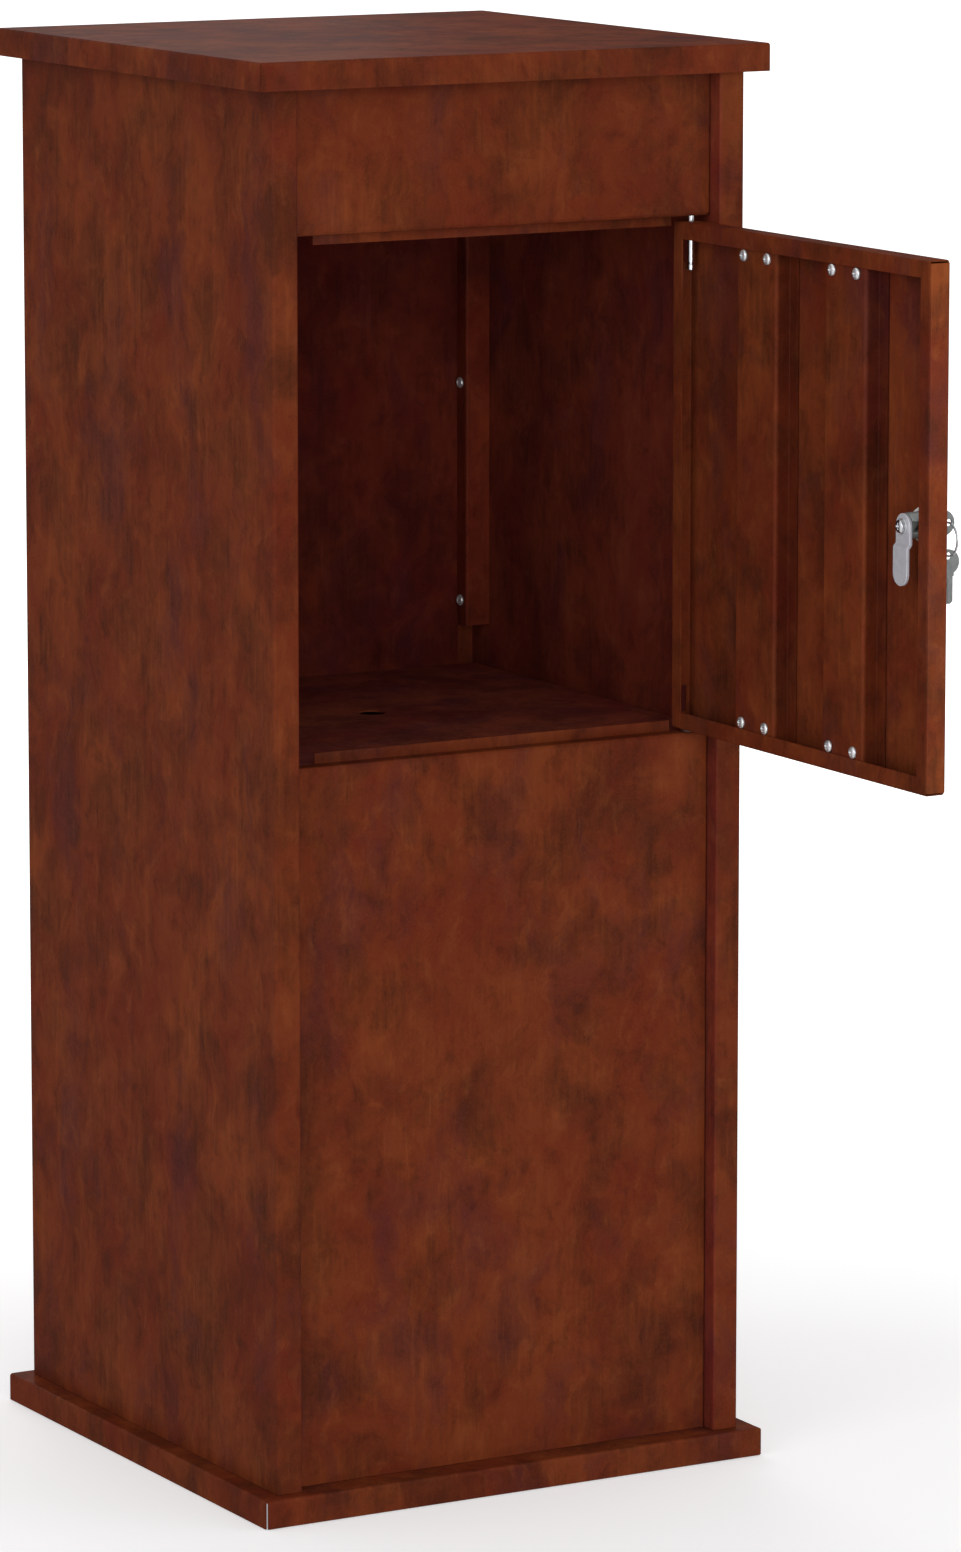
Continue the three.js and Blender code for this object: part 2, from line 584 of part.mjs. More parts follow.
function hexNut(acrossFlats, thickness, boreRadius) {
  return without(
    bar(acrossFlats / Math.sqrt(3), 'y', 0, thickness, [0, 0, 0], 6),
    bar(boreRadius, 'y', -CUT_PAST, thickness + CUT_PAST),
  );
}

// The door: a skin with four folded walls, a rim turned in all round, and a tab under each end of each rib.
function doorTray() {
  const skin = DOOR_OUTER_Y + SHEET / 2;
  const rim = DOOR_RIM_Y - SHEET / 2;
  const section = (low, high) => strip([
    [low + DOOR_RIM, rim],
    [low + SHEET / 2, rim],
    [low + SHEET / 2, skin],
    [high - SHEET / 2, skin],
    [high - SHEET / 2, rim],
    [high - DOOR_RIM, rim],
  ]);
  const uprightSection = section(DOOR_FREE_X, DOOR_HINGE_X);
  const upright = pushed(uprightSection, 'z', DOOR_BOTTOM + OUTER_BEND, DOOR_TOP - OUTER_BEND);
  const levelSection = swapped(section(DOOR_BOTTOM, DOOR_TOP));
  const level = pushed(levelSection, 'x', DOOR_FREE_X + OUTER_BEND, DOOR_HINGE_X - OUTER_BEND);
  const tabs = RIB_CENTRES_X.flatMap((x) => [
    ribTab(x, DOOR_TOP - RIB_TAB_LENGTH, DOOR_TOP - SHEET / 2),
    ribTab(x, DOOR_BOTTOM + SHEET / 2, DOOR_BOTTOM + RIB_TAB_LENGTH),
  ]);
  const pinHole = bar(PIN_RADIUS + FIT_GAP, 'z', DOOR_BOTTOM - CUT_PAST, DOOR_TOP + CUT_PAST);
  return without(
    joined(upright, level, ...tabs),
    wallNotch(DOOR_TOP - WALL_NOTCH_FROM_END - WALL_NOTCH_LENGTH),
    wallNotch(DOOR_BOTTOM + WALL_NOTCH_FROM_END),
    pinHole,
    lockHole(),
    ...ribScrewPlaces().map(([x, z]) => ribScrewHole(x, z)),
  );
}

// The same drawing with its x and y exchanged.
function swapped(shape) {
  return new THREE.Shape(shape.getPoints().map((point) => new THREE.Vector2(point.y, point.x)));
}

function ribTab(x, low, high) {
  const half = RIB_TAB_WIDTH / 2;
  return block([x - half, x + half], [RIB_TAB_TOP_Y - SHEET, RIB_TAB_TOP_Y], [low, high]);
}

function wallNotch(low) {
  return block(
    [DOOR_HINGE_X - SHEET - CUT_PAST, DOOR_HINGE_X + CUT_PAST],
    [DOOR_RIM_Y - WALL_NOTCH_FROM_RIM - WALL_NOTCH_WIDTH, DOOR_RIM_Y - WALL_NOTCH_FROM_RIM],
    [low, low + WALL_NOTCH_LENGTH],
  );
}

// The lock's hole has two flats, so that the barrel can't turn in it.
function lockHole() {
  const through = [DOOR_OUTER_Y - CUT_PAST, DOOR_SKIN_INSIDE_Y + CUT_PAST];
  const flat = BARREL_FLAT + FIT_GAP;
  const reach = BARREL_RADIUS + CUT_PAST;
  return bar(BARREL_RADIUS + FIT_GAP, 'y', ...through)
    .intersect(block([-flat, flat], through, [-reach, reach]))
    .translate([LOCK_X, 0, LOCK_Z]);
}

function ribScrewPlaces() {
  return RIB_CENTRES_X.flatMap((centre) => RIB_SCREW_HEIGHTS.flatMap((z) =>
    [1, -1].map((side) => [centre + (side * RIB_SCREW_SPACING) / 2, z])));
}

function ribScrewHole(x, z) {
  const through = [RIB_TAB_TOP_Y - SHEET - CUT_PAST, RIB_TOP_Y + CUT_PAST];
  return bar(SCREW_SHANK_RADIUS + SCREW_HOLE_GAP, 'y', ...through, [x, 0, z]);
}

// A hat-section stiffener from end to end of the door, under the rim.
function doorRib(centre) {
  const foot = RIB_BOTTOM_Y + SHEET / 2;
  const face = RIB_TOP_Y - SHEET / 2;
  const half = RIB_FACE / 2 - SHEET / 2;
  const section = strip([
    [centre - half - RIB_FOOT, foot],
    [centre - half, foot],
    [centre - half, face],
    [centre + half, face],
    [centre + half, foot],
    [centre + half + RIB_FOOT, foot],
  ]);
  const low = DOOR_BOTTOM + SHEET + FIT_GAP;
  const high = DOOR_TOP - SHEET - FIT_GAP;
  return without(
    pushed(section, 'z', low, high),
    ...ribScrewPlaces().filter(([x]) => Math.abs(x - centre) < half).map(([x, z]) => ribScrewHole(x, z)),
  );
}

// The upper hinge pin, with a groove near its lower end to pull it down by.
function upperHingePin() {
  const low = DOOR_TOP - UPPER_PIN_BELOW_DOOR_TOP;
  const high = OPENING_TOP + SHEET + PIN_BEYOND_LEDGE;
  const chamfer = UPPER_PIN_GROOVE_DEPTH;
  const groove = low + UPPER_PIN_GROOVE_UP;
  return turned([
    [0, low],
    [PIN_RADIUS - chamfer, low],
    [PIN_RADIUS, low + chamfer],
    [PIN_RADIUS, groove],
    [PIN_RADIUS - UPPER_PIN_GROOVE_DEPTH, groove],
    [PIN_RADIUS - UPPER_PIN_GROOVE_DEPTH, groove + UPPER_PIN_GROOVE],
    [PIN_RADIUS, groove + UPPER_PIN_GROOVE],
    [PIN_RADIUS, high - chamfer],
    [PIN_RADIUS - chamfer, high],
    [0, high],
  ], 'z');
}

// The lower hinge pin, a headed stub through the door's lower wall and the ledge.
function lowerHingePin() {
  const seat = DOOR_BOTTOM + SHEET + FIT_GAP;
  return joined(
    bar(PIN_RADIUS, 'z', OPENING_BOTTOM - SHEET - PIN_BEYOND_LEDGE, seat),
    bar(LOWER_PIN_HEAD_RADIUS, 'z', seat, seat + LOWER_PIN_HEAD),
  );
}

function hingeWasher() {
  const low = OPENING_BOTTOM + FIT_GAP;
  const high = DOOR_BOTTOM - FIT_GAP;
  return without(
    bar(HINGE_WASHER_RADIUS, 'z', low, high),
    bar(PIN_RADIUS + PIN_RUNNING_GAP, 'z', low - CUT_PAST, high + CUT_PAST),
  );
}

// The barrel: a round flange outside the door and a threaded body with two flats through it.
function lockBarrel() {
  const edge = BARREL_FLANGE / 3;
  const flange = turned([
    [0, FLANGE_FRONT_Y],
    [BARREL_FLANGE_RADIUS - 2 * edge, FLANGE_FRONT_Y],
    [BARREL_FLANGE_RADIUS, FLANGE_FRONT_Y + 2 * edge],
    [BARREL_FLANGE_RADIUS, FLANGE_BACK_Y],
    [0, FLANGE_BACK_Y],
  ], 'y', 2 * ROUND_SIDES);
  const round = bar(BARREL_RADIUS, 'y', FLANGE_BACK_Y - edge, BARREL_END_Y, [0, 0, 0], 2 * ROUND_SIDES);
  const body = round.intersect(block(
    [-BARREL_FLAT, BARREL_FLAT],
    [FLANGE_BACK_Y - CUT_PAST, BARREL_END_Y + CUT_PAST],
    [-BARREL_RADIUS, BARREL_RADIUS],
  ));
  return without(
    joined(flange, body),
    bar(PLUG_RADIUS + PIN_RUNNING_GAP, 'y', FLANGE_FRONT_Y - CUT_PAST, BARREL_END_Y + CUT_PAST),
  );
}

function lockNut() {
  return hexNut(NUT_ACROSS_FLATS, NUT_THICKNESS, BARREL_RADIUS + FIT_GAP)
    .translate([0, DOOR_SKIN_INSIDE_Y + FIT_GAP, 0]);
}

// The turning plug: a keyway from the front, and a square end with the bolt's hole at the back.
function lockPlug() {
  const front = FLANGE_FRONT_Y - PLUG_PROUD;
  const square = PLUG_SQUARE / 2;
  const squareEnd = PLUG_END_Y + PLUG_SQUARE_LENGTH;
  const keyway = block(
    [-KEY_THICKNESS / 2 - KEYWAY_GAP, KEY_THICKNESS / 2 + KEYWAY_GAP],
    [front - CUT_PAST, KEY_HOLE_Y + KEY_TIP_FROM_HOLE + FIT_GAP],
    [-KEY_BLADE_WIDTH / 2 - KEYWAY_GAP, KEY_BLADE_WIDTH / 2 + KEYWAY_GAP],
  );
  return without(
    joined(
      bar(PLUG_RADIUS, 'y', front, PLUG_END_Y),
      block([-square, square], [PLUG_END_Y - SHEET, squareEnd], [-square, square]),
    ),
    keyway,
    bar(CAM_BOLT_RADIUS + FIT_GAP, 'y', CAM_BOLT_TIP_Y - FIT_GAP, squareEnd + CUT_PAST),
  );
}

// The cam: a round-ended arm with a joggle, hanging from a square hole that fits the plug.
function lockCam() {
  const middle = CAM_Y + CAM_THICKNESS / 2;
  const radius = CAM_WIDTH / 2;
  const bend = CAM_THICKNESS;
  const section = strip([
    [middle, radius],
    [middle, -CAM_JOGGLE_DOWN, bend],
    [middle + CAM_JOGGLE, -CAM_JOGGLE_DOWN - CAM_JOGGLE, bend],
    [middle + CAM_JOGGLE, -CAM_REACH],
  ], CAM_THICKNESS);
  const depth = [CAM_Y - CUT_PAST, CAM_WASHER_Y + CAM_JOGGLE + CUT_PAST];
  const outline = joined(
    bar(radius, 'y', ...depth, [0, 0, 0], 2 * ROUND_SIDES),
    bar(radius, 'y', ...depth, [0, 0, radius - CAM_REACH], 2 * ROUND_SIDES),
    block([-radius, radius], depth, [radius - CAM_REACH, 0]),
  );
  const square = PLUG_SQUARE / 2 + FIT_GAP;
  return without(
    pushed(section, 'x', -radius, radius).intersect(outline),
    block([-square, square], depth, [-square, square]),
  );
}

function camWasher() {
  return without(
    bar(CAM_WASHER_RADIUS, 'y', CAM_WASHER_Y, CAM_WASHER_Y + CAM_WASHER),
    bar(CAM_BOLT_RADIUS + FIT_GAP, 'y', CAM_WASHER_Y - CUT_PAST, CAM_WASHER_Y + CAM_WASHER + CUT_PAST),
  );
}

// The bolt's head is turned to a chamfer and has a cross recess.
function camBolt() {
  const top = CAM_BOLT_SEAT_Y + CAM_BOLT_HEAD;
  const chamfer = CAM_BOLT_HEAD / 3;
  const bolt = turned([
    [0, CAM_BOLT_TIP_Y],
    [CAM_BOLT_RADIUS, CAM_BOLT_TIP_Y],
    [CAM_BOLT_RADIUS, CAM_BOLT_SEAT_Y],
    [CAM_BOLT_HEAD_RADIUS, CAM_BOLT_SEAT_Y],
    [CAM_BOLT_HEAD_RADIUS, top - chamfer],
    [CAM_BOLT_HEAD_RADIUS - chamfer, top],
    [0, top],
  ], 'y');
  const depth = [top - RECESS_DEPTH, top + CUT_PAST];
  const long = [-RECESS_LENGTH / 2, RECESS_LENGTH / 2];
  const wide = [-RECESS_WIDTH / 2, RECESS_WIDTH / 2];
  return without(bolt, block(long, depth, wide), block(wide, depth, long));
}

// A flat key with its origin in the bow's hole and its blade along +Y.
function flatKey() {
  const half = KEY_THICKNESS / 2;
  const bow = KEY_HOLE_FROM_BOW_CENTRE;
  const neck = bow + KEY_NECK_FROM_BOW_CENTRE;
  const bevel = KEY_BLADE_WIDTH / 4;
  const blade = new THREE.Shape([
    new THREE.Vector2(bow, -KEY_BLADE_WIDTH / 2),
    new THREE.Vector2(KEY_TIP_FROM_HOLE - bevel, -KEY_BLADE_WIDTH / 2),
    new THREE.Vector2(KEY_TIP_FROM_HOLE, -KEY_BLADE_WIDTH / 2 + bevel),
    new THREE.Vector2(KEY_TIP_FROM_HOLE, KEY_BLADE_WIDTH / 2 - bevel),
    new THREE.Vector2(KEY_TIP_FROM_HOLE - bevel, KEY_BLADE_WIDTH / 2),
    new THREE.Vector2(bow, KEY_BLADE_WIDTH / 2),
  ]);
  return without(
    joined(
      bar(KEY_BOW_RADIUS, 'x', -half, half, [0, bow, 0], 2 * ROUND_SIDES),
      block([-half, half], [bow, neck], [-KEY_NECK_WIDTH / 2, KEY_NECK_WIDTH / 2]),
      pushed(blade, 'x', -half, half),
    ),
    bar(KEY_HOLE_RADIUS, 'x', -half - CUT_PAST, half + CUT_PAST),
  );
}

// The ring hangs from its own top, which is at the origin.
function keyRing() {
  const wire = new THREE.TorusGeometry(RING_RADIUS, RING_WIRE_RADIUS, 8, 2 * ROUND_SIDES);
  return solid(wire.rotateX(Math.PI / 2).translate(0, 0, -RING_RADIUS));
}

function box() {
  const group = new THREE.Group();
  group.add(
    named('base_tray', baseTray(), RUST),
    named('top_cap', topCap(), RUST),
    named('left_side_panel', sidePanel(-1), RUST),
    named('right_side_panel', sidePanel(1), RUST),
    named('upper_door_side_panel', doorSidePanel(BODY_TOP, OPENING_TOP, -1), RUST),
    named('lower_door_side_panel', doorSidePanel(BODY_BOTTOM, OPENING_BOTTOM, 1), RUST),
    named('slot_side_panel', slotSidePanel(), RUST),
    named('shelf', shelf(), RUST),
    named('shelf_bracket_left', shelfBracket(-1), RUST),
    named('shelf_bracket_right', shelfBracket(1), RUST),
    named('corner_rail_left', cornerRail(-1), RUST),
    named('corner_rail_right', cornerRail(1), RUST),
    named('mail_flap', mailFlap(), RUST),
    named('flap_pin', flapPin(), STEEL),
  );
  return group;
}

// The screws in the corner rails, with their heads towards the middle of the box.
function railScrews() {
  const seat = RAIL_MIDDLE_X - SHEET / 2 - FIT_GAP;
  const places = [-1, 1].flatMap((side) => RAIL_SCREW_HEIGHTS.map((z) => ({ side, z })));
  return places.map(({ side, z }, i) => {
    const screw = named(`rail_screw_${i + 1}`, panHeadScrew(RAIL_SCREW_LENGTH), STEEL);
    screw.rotation.y = (-side * Math.PI) / 2;
    screw.position.set(side * seat, RAIL_SCREW_Y, z);
    return screw;
  });
}

// The screws up through the base into the side panels, and the nuts on the cap's studs.
function footFasteners() {
  const nutTop = BODY_TOP - SHEET - FIT_GAP;
  return FOOT_PLACES.flatMap(([x, y], i) => {
    const screw = named(`base_screw_${i + 1}`, panHeadScrew(BASE_SCREW_LENGTH), STEEL);
    screw.rotation.x = Math.PI;
    screw.position.set(x, y, BASE_EDGE - SHEET - FIT_GAP);
    const hexagon = hexNut(CAP_NUT_ACROSS_FLATS, CAP_NUT_THICKNESS, STUD_RADIUS + FIT_GAP);
    const nut = named(`cap_nut_${i + 1}`, hexagon, STEEL);
    nut.rotation.x = Math.PI / 2;
    nut.position.set(x, y, nutTop - CAP_NUT_THICKNESS);
    return [screw, nut];
  });
}

function door() {
  const group = new THREE.Group();
  group.add(
    named('door_tray', doorTray(), RUST),
    named('door_rib_hinge_side', doorRib(RIB_CENTRES_X[0]), RUST),
    named('door_rib_lock_side', doorRib(RIB_CENTRES_X[1]), RUST),
    named('upper_hinge_pin', upperHingePin(), CHROME),
    named('lower_hinge_pin', lowerHingePin(), CHROME),
    named('hinge_washer', hingeWasher(), STEEL),
  );
  ribScrewPlaces().forEach(([x, z], i) => {
    const screw = named(`rib_screw_${i + 1}`, panHeadScrew(RIB_SCREW_LENGTH), STEEL);
    screw.rotation.x = -Math.PI / 2;
    screw.position.set(x, RIB_TOP_Y + FIT_GAP, z);
    group.add(screw);
  });
  const lock = camLock();
  lock.position.set(LOCK_X, 0, LOCK_Z);
  group.add(lock);
  group.position.set(PIN_X, PIN_Y, 0);
  group.rotation.z = Math.PI / 2;
  return group;
}

// The cam lock, on its own axis, with a key in it and a second key on the ring.
function camLock() {
  const group = new THREE.Group();
  const key = named('key', flatKey(), STEEL);
  const ring = named('key_ring', keyRing(), STEEL);
  const spare = named('spare_key', flatKey(), STEEL);
  key.position.y = KEY_HOLE_Y;
  ring.position.y = KEY_HOLE_Y;
  spare.position.set(0, KEY_HOLE_Y, -2 * RING_RADIUS);
  spare.rotation.x = -Math.PI / 2;
  group.add(
    named('lock_barrel', lockBarrel(), CHROME),
    named('lock_nut', lockNut(), CHROME),
    named('lock_plug', lockPlug(), STEEL),
    named('lock_cam', lockCam(), STEEL),
    named('cam_washer', camWasher(), STEEL),
    named('cam_bolt', camBolt(), STEEL),
    key,
    ring,
    spare,
  );
  return group;
}

// The frame's origin is on the floor, at the middle of the base's folded edge under the door.
const mailbox = new THREE.Group();
mailbox.add(box(), ...railScrews(), ...footFasteners(), door());
mailbox.position.y = CAP_DEPTH / 2 - SHEET / 2;

export default mailbox;
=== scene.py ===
"""A free-standing mailbox of rusty folded sheet steel, with its parcel door standing open.

Metres, +Z up. The origin is on the floor, at the middle of the foot's folded edge under the door. The
sizes of the pieces are written in millimetres.
"""
import logging
import math
from collections.abc import Iterable, Mapping, Sequence
from dataclasses import dataclass, replace
from enum import Enum, IntEnum

import bmesh
import bpy
from mathutils import Matrix, Vector


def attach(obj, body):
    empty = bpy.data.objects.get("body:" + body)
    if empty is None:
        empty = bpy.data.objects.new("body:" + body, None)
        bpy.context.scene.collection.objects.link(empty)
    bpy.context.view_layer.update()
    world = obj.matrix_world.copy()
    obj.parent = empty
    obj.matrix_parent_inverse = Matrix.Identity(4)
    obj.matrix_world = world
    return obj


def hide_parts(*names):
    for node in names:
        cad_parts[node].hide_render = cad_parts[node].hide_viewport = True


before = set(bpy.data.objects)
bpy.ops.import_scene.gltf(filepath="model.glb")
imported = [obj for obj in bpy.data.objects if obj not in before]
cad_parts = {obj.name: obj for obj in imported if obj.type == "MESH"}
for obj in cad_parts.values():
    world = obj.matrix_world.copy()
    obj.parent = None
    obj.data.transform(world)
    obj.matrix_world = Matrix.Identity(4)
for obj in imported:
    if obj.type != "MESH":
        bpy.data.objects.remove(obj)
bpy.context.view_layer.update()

log = logging.getLogger("mailbox")

MM = 0.001
ROUND_SIDES = 48
BEND_STEPS = 8
DOME_STEPS = 8
# Rows of mesh to one turn of a thread, and its depth as a share of its pitch.
THREAD_ROWS = 6
THREAD_DEPTH = 0.55
# How much wider than its bore a nut is tapped, as a share of the pitch, and its chamfer's slope.
TAP_PAST = 0.2
NUT_CHAMFER = math.radians(30)
# How far a cutter runs past the sheet that it cuts, and half the size of one that only has to be wide.
CUT_PAST = 2.0
WIDE_CUT = 20.0
SHEET = 1.2
INSIDE_BEND = 0.8
# Two points of an outline that are nearer than this are one.
SAME_POINT = 1e-5
# The bevel on a piece's sharp edges, in millimetres.
EDGE_WIDTH = 0.12
BEVEL_SEGMENTS = 2
FLAT_ANGLE = math.radians(0.2)
SHARP_ANGLE = math.radians(32)
BEVEL_ANGLE = math.radians(50)
QUARTER_TURN = math.pi / 2

Point = Sequence[float]
Outline = Sequence[Point]
Span = tuple[float, float]
Color = tuple[float, float, float]

UP: Point = (0, 0, 1)
WHITE: Color = (1, 1, 1)
UNSTRETCHED: Point = (1, 1, 1)
# Where a tint starts that covers a whole piece, whichever way its faces look.
EVERYWHERE = -2.0


def linear(red: int, green: int, blue: int) -> Color:
    """Turns a display colour, 0 to 255, into scene light, by the usual display curve.

    Args:
        red: The display red.
        green: The display green.
        blue: The display blue.

    Returns:
        The same colour as the renderer counts it, 0 to 1.
    """
    def one(value: int) -> float:
        """Turns one part of the colour into light."""
        share = value / 255
        return share / 12.92 if share <= 0.04045 else ((share + 0.055) / 1.055) ** 2.4

    return one(red), one(green), one(blue)


class Slot(str, Enum):
    """The record's material slots."""

    RUST = "rusty_steel"
    ZINC = "zinc_steel"
    CHROME = "bright_chrome"


class Body(str, Enum):
    """The record's moving bodies."""

    BOX = "box"
    DOOR = "door"
    LOCK = "lock"
    KEYS = "keys"
    FLAP = "flap"


class Side(IntEnum):
    """The two sides of the box, as the sign of X."""

    LEFT = -1
    RIGHT = 1


class Opening(IntEnum):
    """Where the door opening is from a panel, as the sign of Z."""

    ABOVE = 1
    BELOW = -1


class Combine(str, Enum):
    """The ways in which solids are combined."""

    JOIN = "UNION"
    CUT = "DIFFERENCE"
    SHARE = "INTERSECT"


class Blend(str, Enum):
    """The ways in which two colours are mixed."""

    MIX = "MIX"
    MULTIPLY = "MULTIPLY"


class Measure(str, Enum):
    """What a tint goes by: the way that the surface faces, or its place."""

    FACING = "Normal"
    PLACE = "Object"


class Axis(str, Enum):
    """The axis that a shape is pushed or turned along."""

    X = "x"
    Y = "y"
    Z = "z"

    def point(self, across: float, up: float, along: float) -> Point:
        """Places a point whose last coordinate lies along this axis.

        Args:
            across: Along Y for X, and along X for Y and Z.
            up: Along Z for X and Y, and along Y for Z.
            along: Along this axis.

        Returns:
            The point.
        """
        if self is Axis.X:
            return along, across, up
        if self is Axis.Y:
            return across, along, up
        return across, up, along


class Value:
    """A number or colour that changes over a surface. Arithmetic on it adds Math nodes to its tree."""

    def __init__(self, tree: bpy.types.NodeTree, socket: bpy.types.NodeSocket) -> None:
        """Wraps an output socket of one of a tree's nodes."""
        self.tree = tree
        self.socket = socket

    def _math(self, operation: str, *operands: "Number", clamp: bool = False) -> "Value":
        """Adds one Math node.

        Args:
            operation: The node's operation.
            operands: Numbers or values, in the order of the node's inputs.
            clamp: Whether the result is kept from 0 to 1.

        Returns:
            The node's result.
        """
        node = self.tree.nodes.new("ShaderNodeMath")
        node.operation = operation
        node.use_clamp = clamp
        for place, operand in zip(node.inputs, operands):
            if isinstance(operand, Value):
                self.tree.links.new(operand.socket, place)
            else:
                place.default_value = operand
        return Value(self.tree, node.outputs[0])

    def __add__(self, other: "Number") -> "Value":
        """Returns self + other."""
        return self._math("ADD", self, other)

    def __radd__(self, other: "Number") -> "Value":
        """Returns other + self."""
        return self._math("ADD", other, self)

    def __sub__(self, other: "Number") -> "Value":
        """Returns self - other."""
        return self._math("SUBTRACT", self, other)

    def __rsub__(self, other: "Number") -> "Value":
        """Returns other - self."""
        return self._math("SUBTRACT", other, self)

    def __mul__(self, other: "Number") -> "Value":
        """Returns self * other."""
        return self._math("MULTIPLY", self, other)

    def __rmul__(self, other: "Number") -> "Value":
        """Returns other * self."""
        return self._math("MULTIPLY", other, self)

    def between(self, low: float, high: float) -> "Value":
        """Spreads the part from low to high over 0 to 1, and clamps the rest."""
        span = 1 / (high - low)
        return self._math("MULTIPLY_ADD", self, span, -low * span, clamp=True)


Number = Value | float


class Shading:
    """The node tree of a material or of the world, and the one way its nodes are made."""

    def __init__(self, tree: bpy.types.NodeTree) -> None:
        """Empties a tree, so that it can be built up."""
        self.tree = tree
        tree.nodes.clear()

    def add(
        self,
        kind: str,
        settings: Mapping[str, object] | None = None,
        inputs: Mapping[str | int, object] | None = None,
    ) -> bpy.types.Node:
        """Adds a node.

        Args:
            kind: The node's type.
            settings: Its own settings, which are set first.
            inputs: Values or links for its input sockets, by name or number.

        Returns:
            The node.
        """
        made = self.tree.nodes.new(kind)
        for key, value in (settings or {}).items():
            setattr(made, key, value)
        for key, value in (inputs or {}).items():
            if isinstance(value, Value):
                self.tree.links.new(value.socket, made.inputs[key])
            else:
                made.inputs[key].default_value = value
        return made

    def node(
        self,
        kind: str,
        settings: Mapping[str, object] | None = None,
        inputs: Mapping[str | int, object] | None = None,
        output: str | int = 0,
    ) -> Value:
        """Adds a node as add does, and returns one of its outputs, by name or number."""
        return Value(self.tree, self.add(kind, settings, inputs).outputs[output])


class Surface(Shading):
    """A node material."""

    def __init__(self, name: str) -> None:
        """Makes an empty material.

        Args:
            name: The material's name.
        """
        self.material = bpy.data.materials.new(name)
        self.material.use_nodes = True
        super().__init__(self.material.node_tree)

    def stretched(self, where: Value, scale: Point, shift: Point) -> Value:
        """Scales a place on the surface, and then shifts it."""
        return self.node("ShaderNodeMapping", {}, {"Vector": where, "Scale": scale, "Location": shift})

    def mixed(
        self, share: Number, first: Value | Color, second: Value | Color, blend: Blend = Blend.MIX,
    ) -> Value:
        """Mixes two colours.

        Args:
            share: How much of the second one there is, 0 to 1.
            first: A colour or a colour value.
            second: A colour or a colour value.
            blend: The way of mixing.

        Returns:
            The mixed colour.
        """
        def full(color: Value | Color) -> Value | tuple[float, ...]:
            """Gives a plain colour its fourth part."""
            return color if isinstance(color, Value) else (*color, 1)

        # A Mix node takes its colours at inputs 6 and 7, and gives the mixed one at output 2.
        settings = {"data_type": "RGBA", "blend_type": blend.value, "clamp_result": False}
        return self.node("ShaderNodeMix", settings, {0: share, 6: full(first), 7: full(second)}, 2)

    def finish(self, shader: Value) -> bpy.types.Material:
        """Links a shader to the material's output, and returns the finished material."""
        self.add("ShaderNodeOutputMaterial", {}, {"Surface": shader})
        return self.material


@dataclass(frozen=True)
class Pattern:
    """Noise laid over a surface: its features to a metre, its finer layers and how strong they are."""

    scale: float
    layers: float
    strength: float
    stretch: Point = UNSTRETCHED
    shift: Point = (0, 0, 0)

    def on(self, surface: Surface, where: Value) -> Value:
        """Lays the pattern on a surface.

        Args:
            surface: The surface.
            where: The place on it.

        Returns:
            The noise, about 0.5 on average.
        """
        placed = surface.stretched(where, self.stretch, self.shift)
        inputs = {"Vector": placed, "Scale": self.scale, "Detail": self.layers, "Roughness": self.strength}
        return surface.node("ShaderNodeTexNoise", {}, inputs)


@dataclass(frozen=True)
class Tint:
    """Painted light or shade: a tint over the part of a sheet that faces one way, or that lies beyond a
    plane.

    Both are measured along one direction: the tint starts where the measure is start, and is full one fade
    further on.
    """

    color: Color
    toward: Point
    start: float = 0.4
    fade: float = 0.4
    by: Measure = Measure.FACING

    def over(self, surface: Surface, color: Value) -> Value:
        """Lays the tint over a colour.

        Args:
            surface: The surface.
            color: The colour without the tint.

        Returns:
            The colour with the tint.
        """
        measured = surface.node("ShaderNodeTexCoord", output=self.by.value)
        settings = {"operation": "DOT_PRODUCT"}
        reach = surface.node("ShaderNodeVectorMath", settings, {0: measured, 1: self.toward}, "Value")
        tinted = surface.mixed(1.0, color, self.color, Blend.MULTIPLY)
        return surface.mixed(reach.between(self.start, self.start + self.fade), color, tinted)


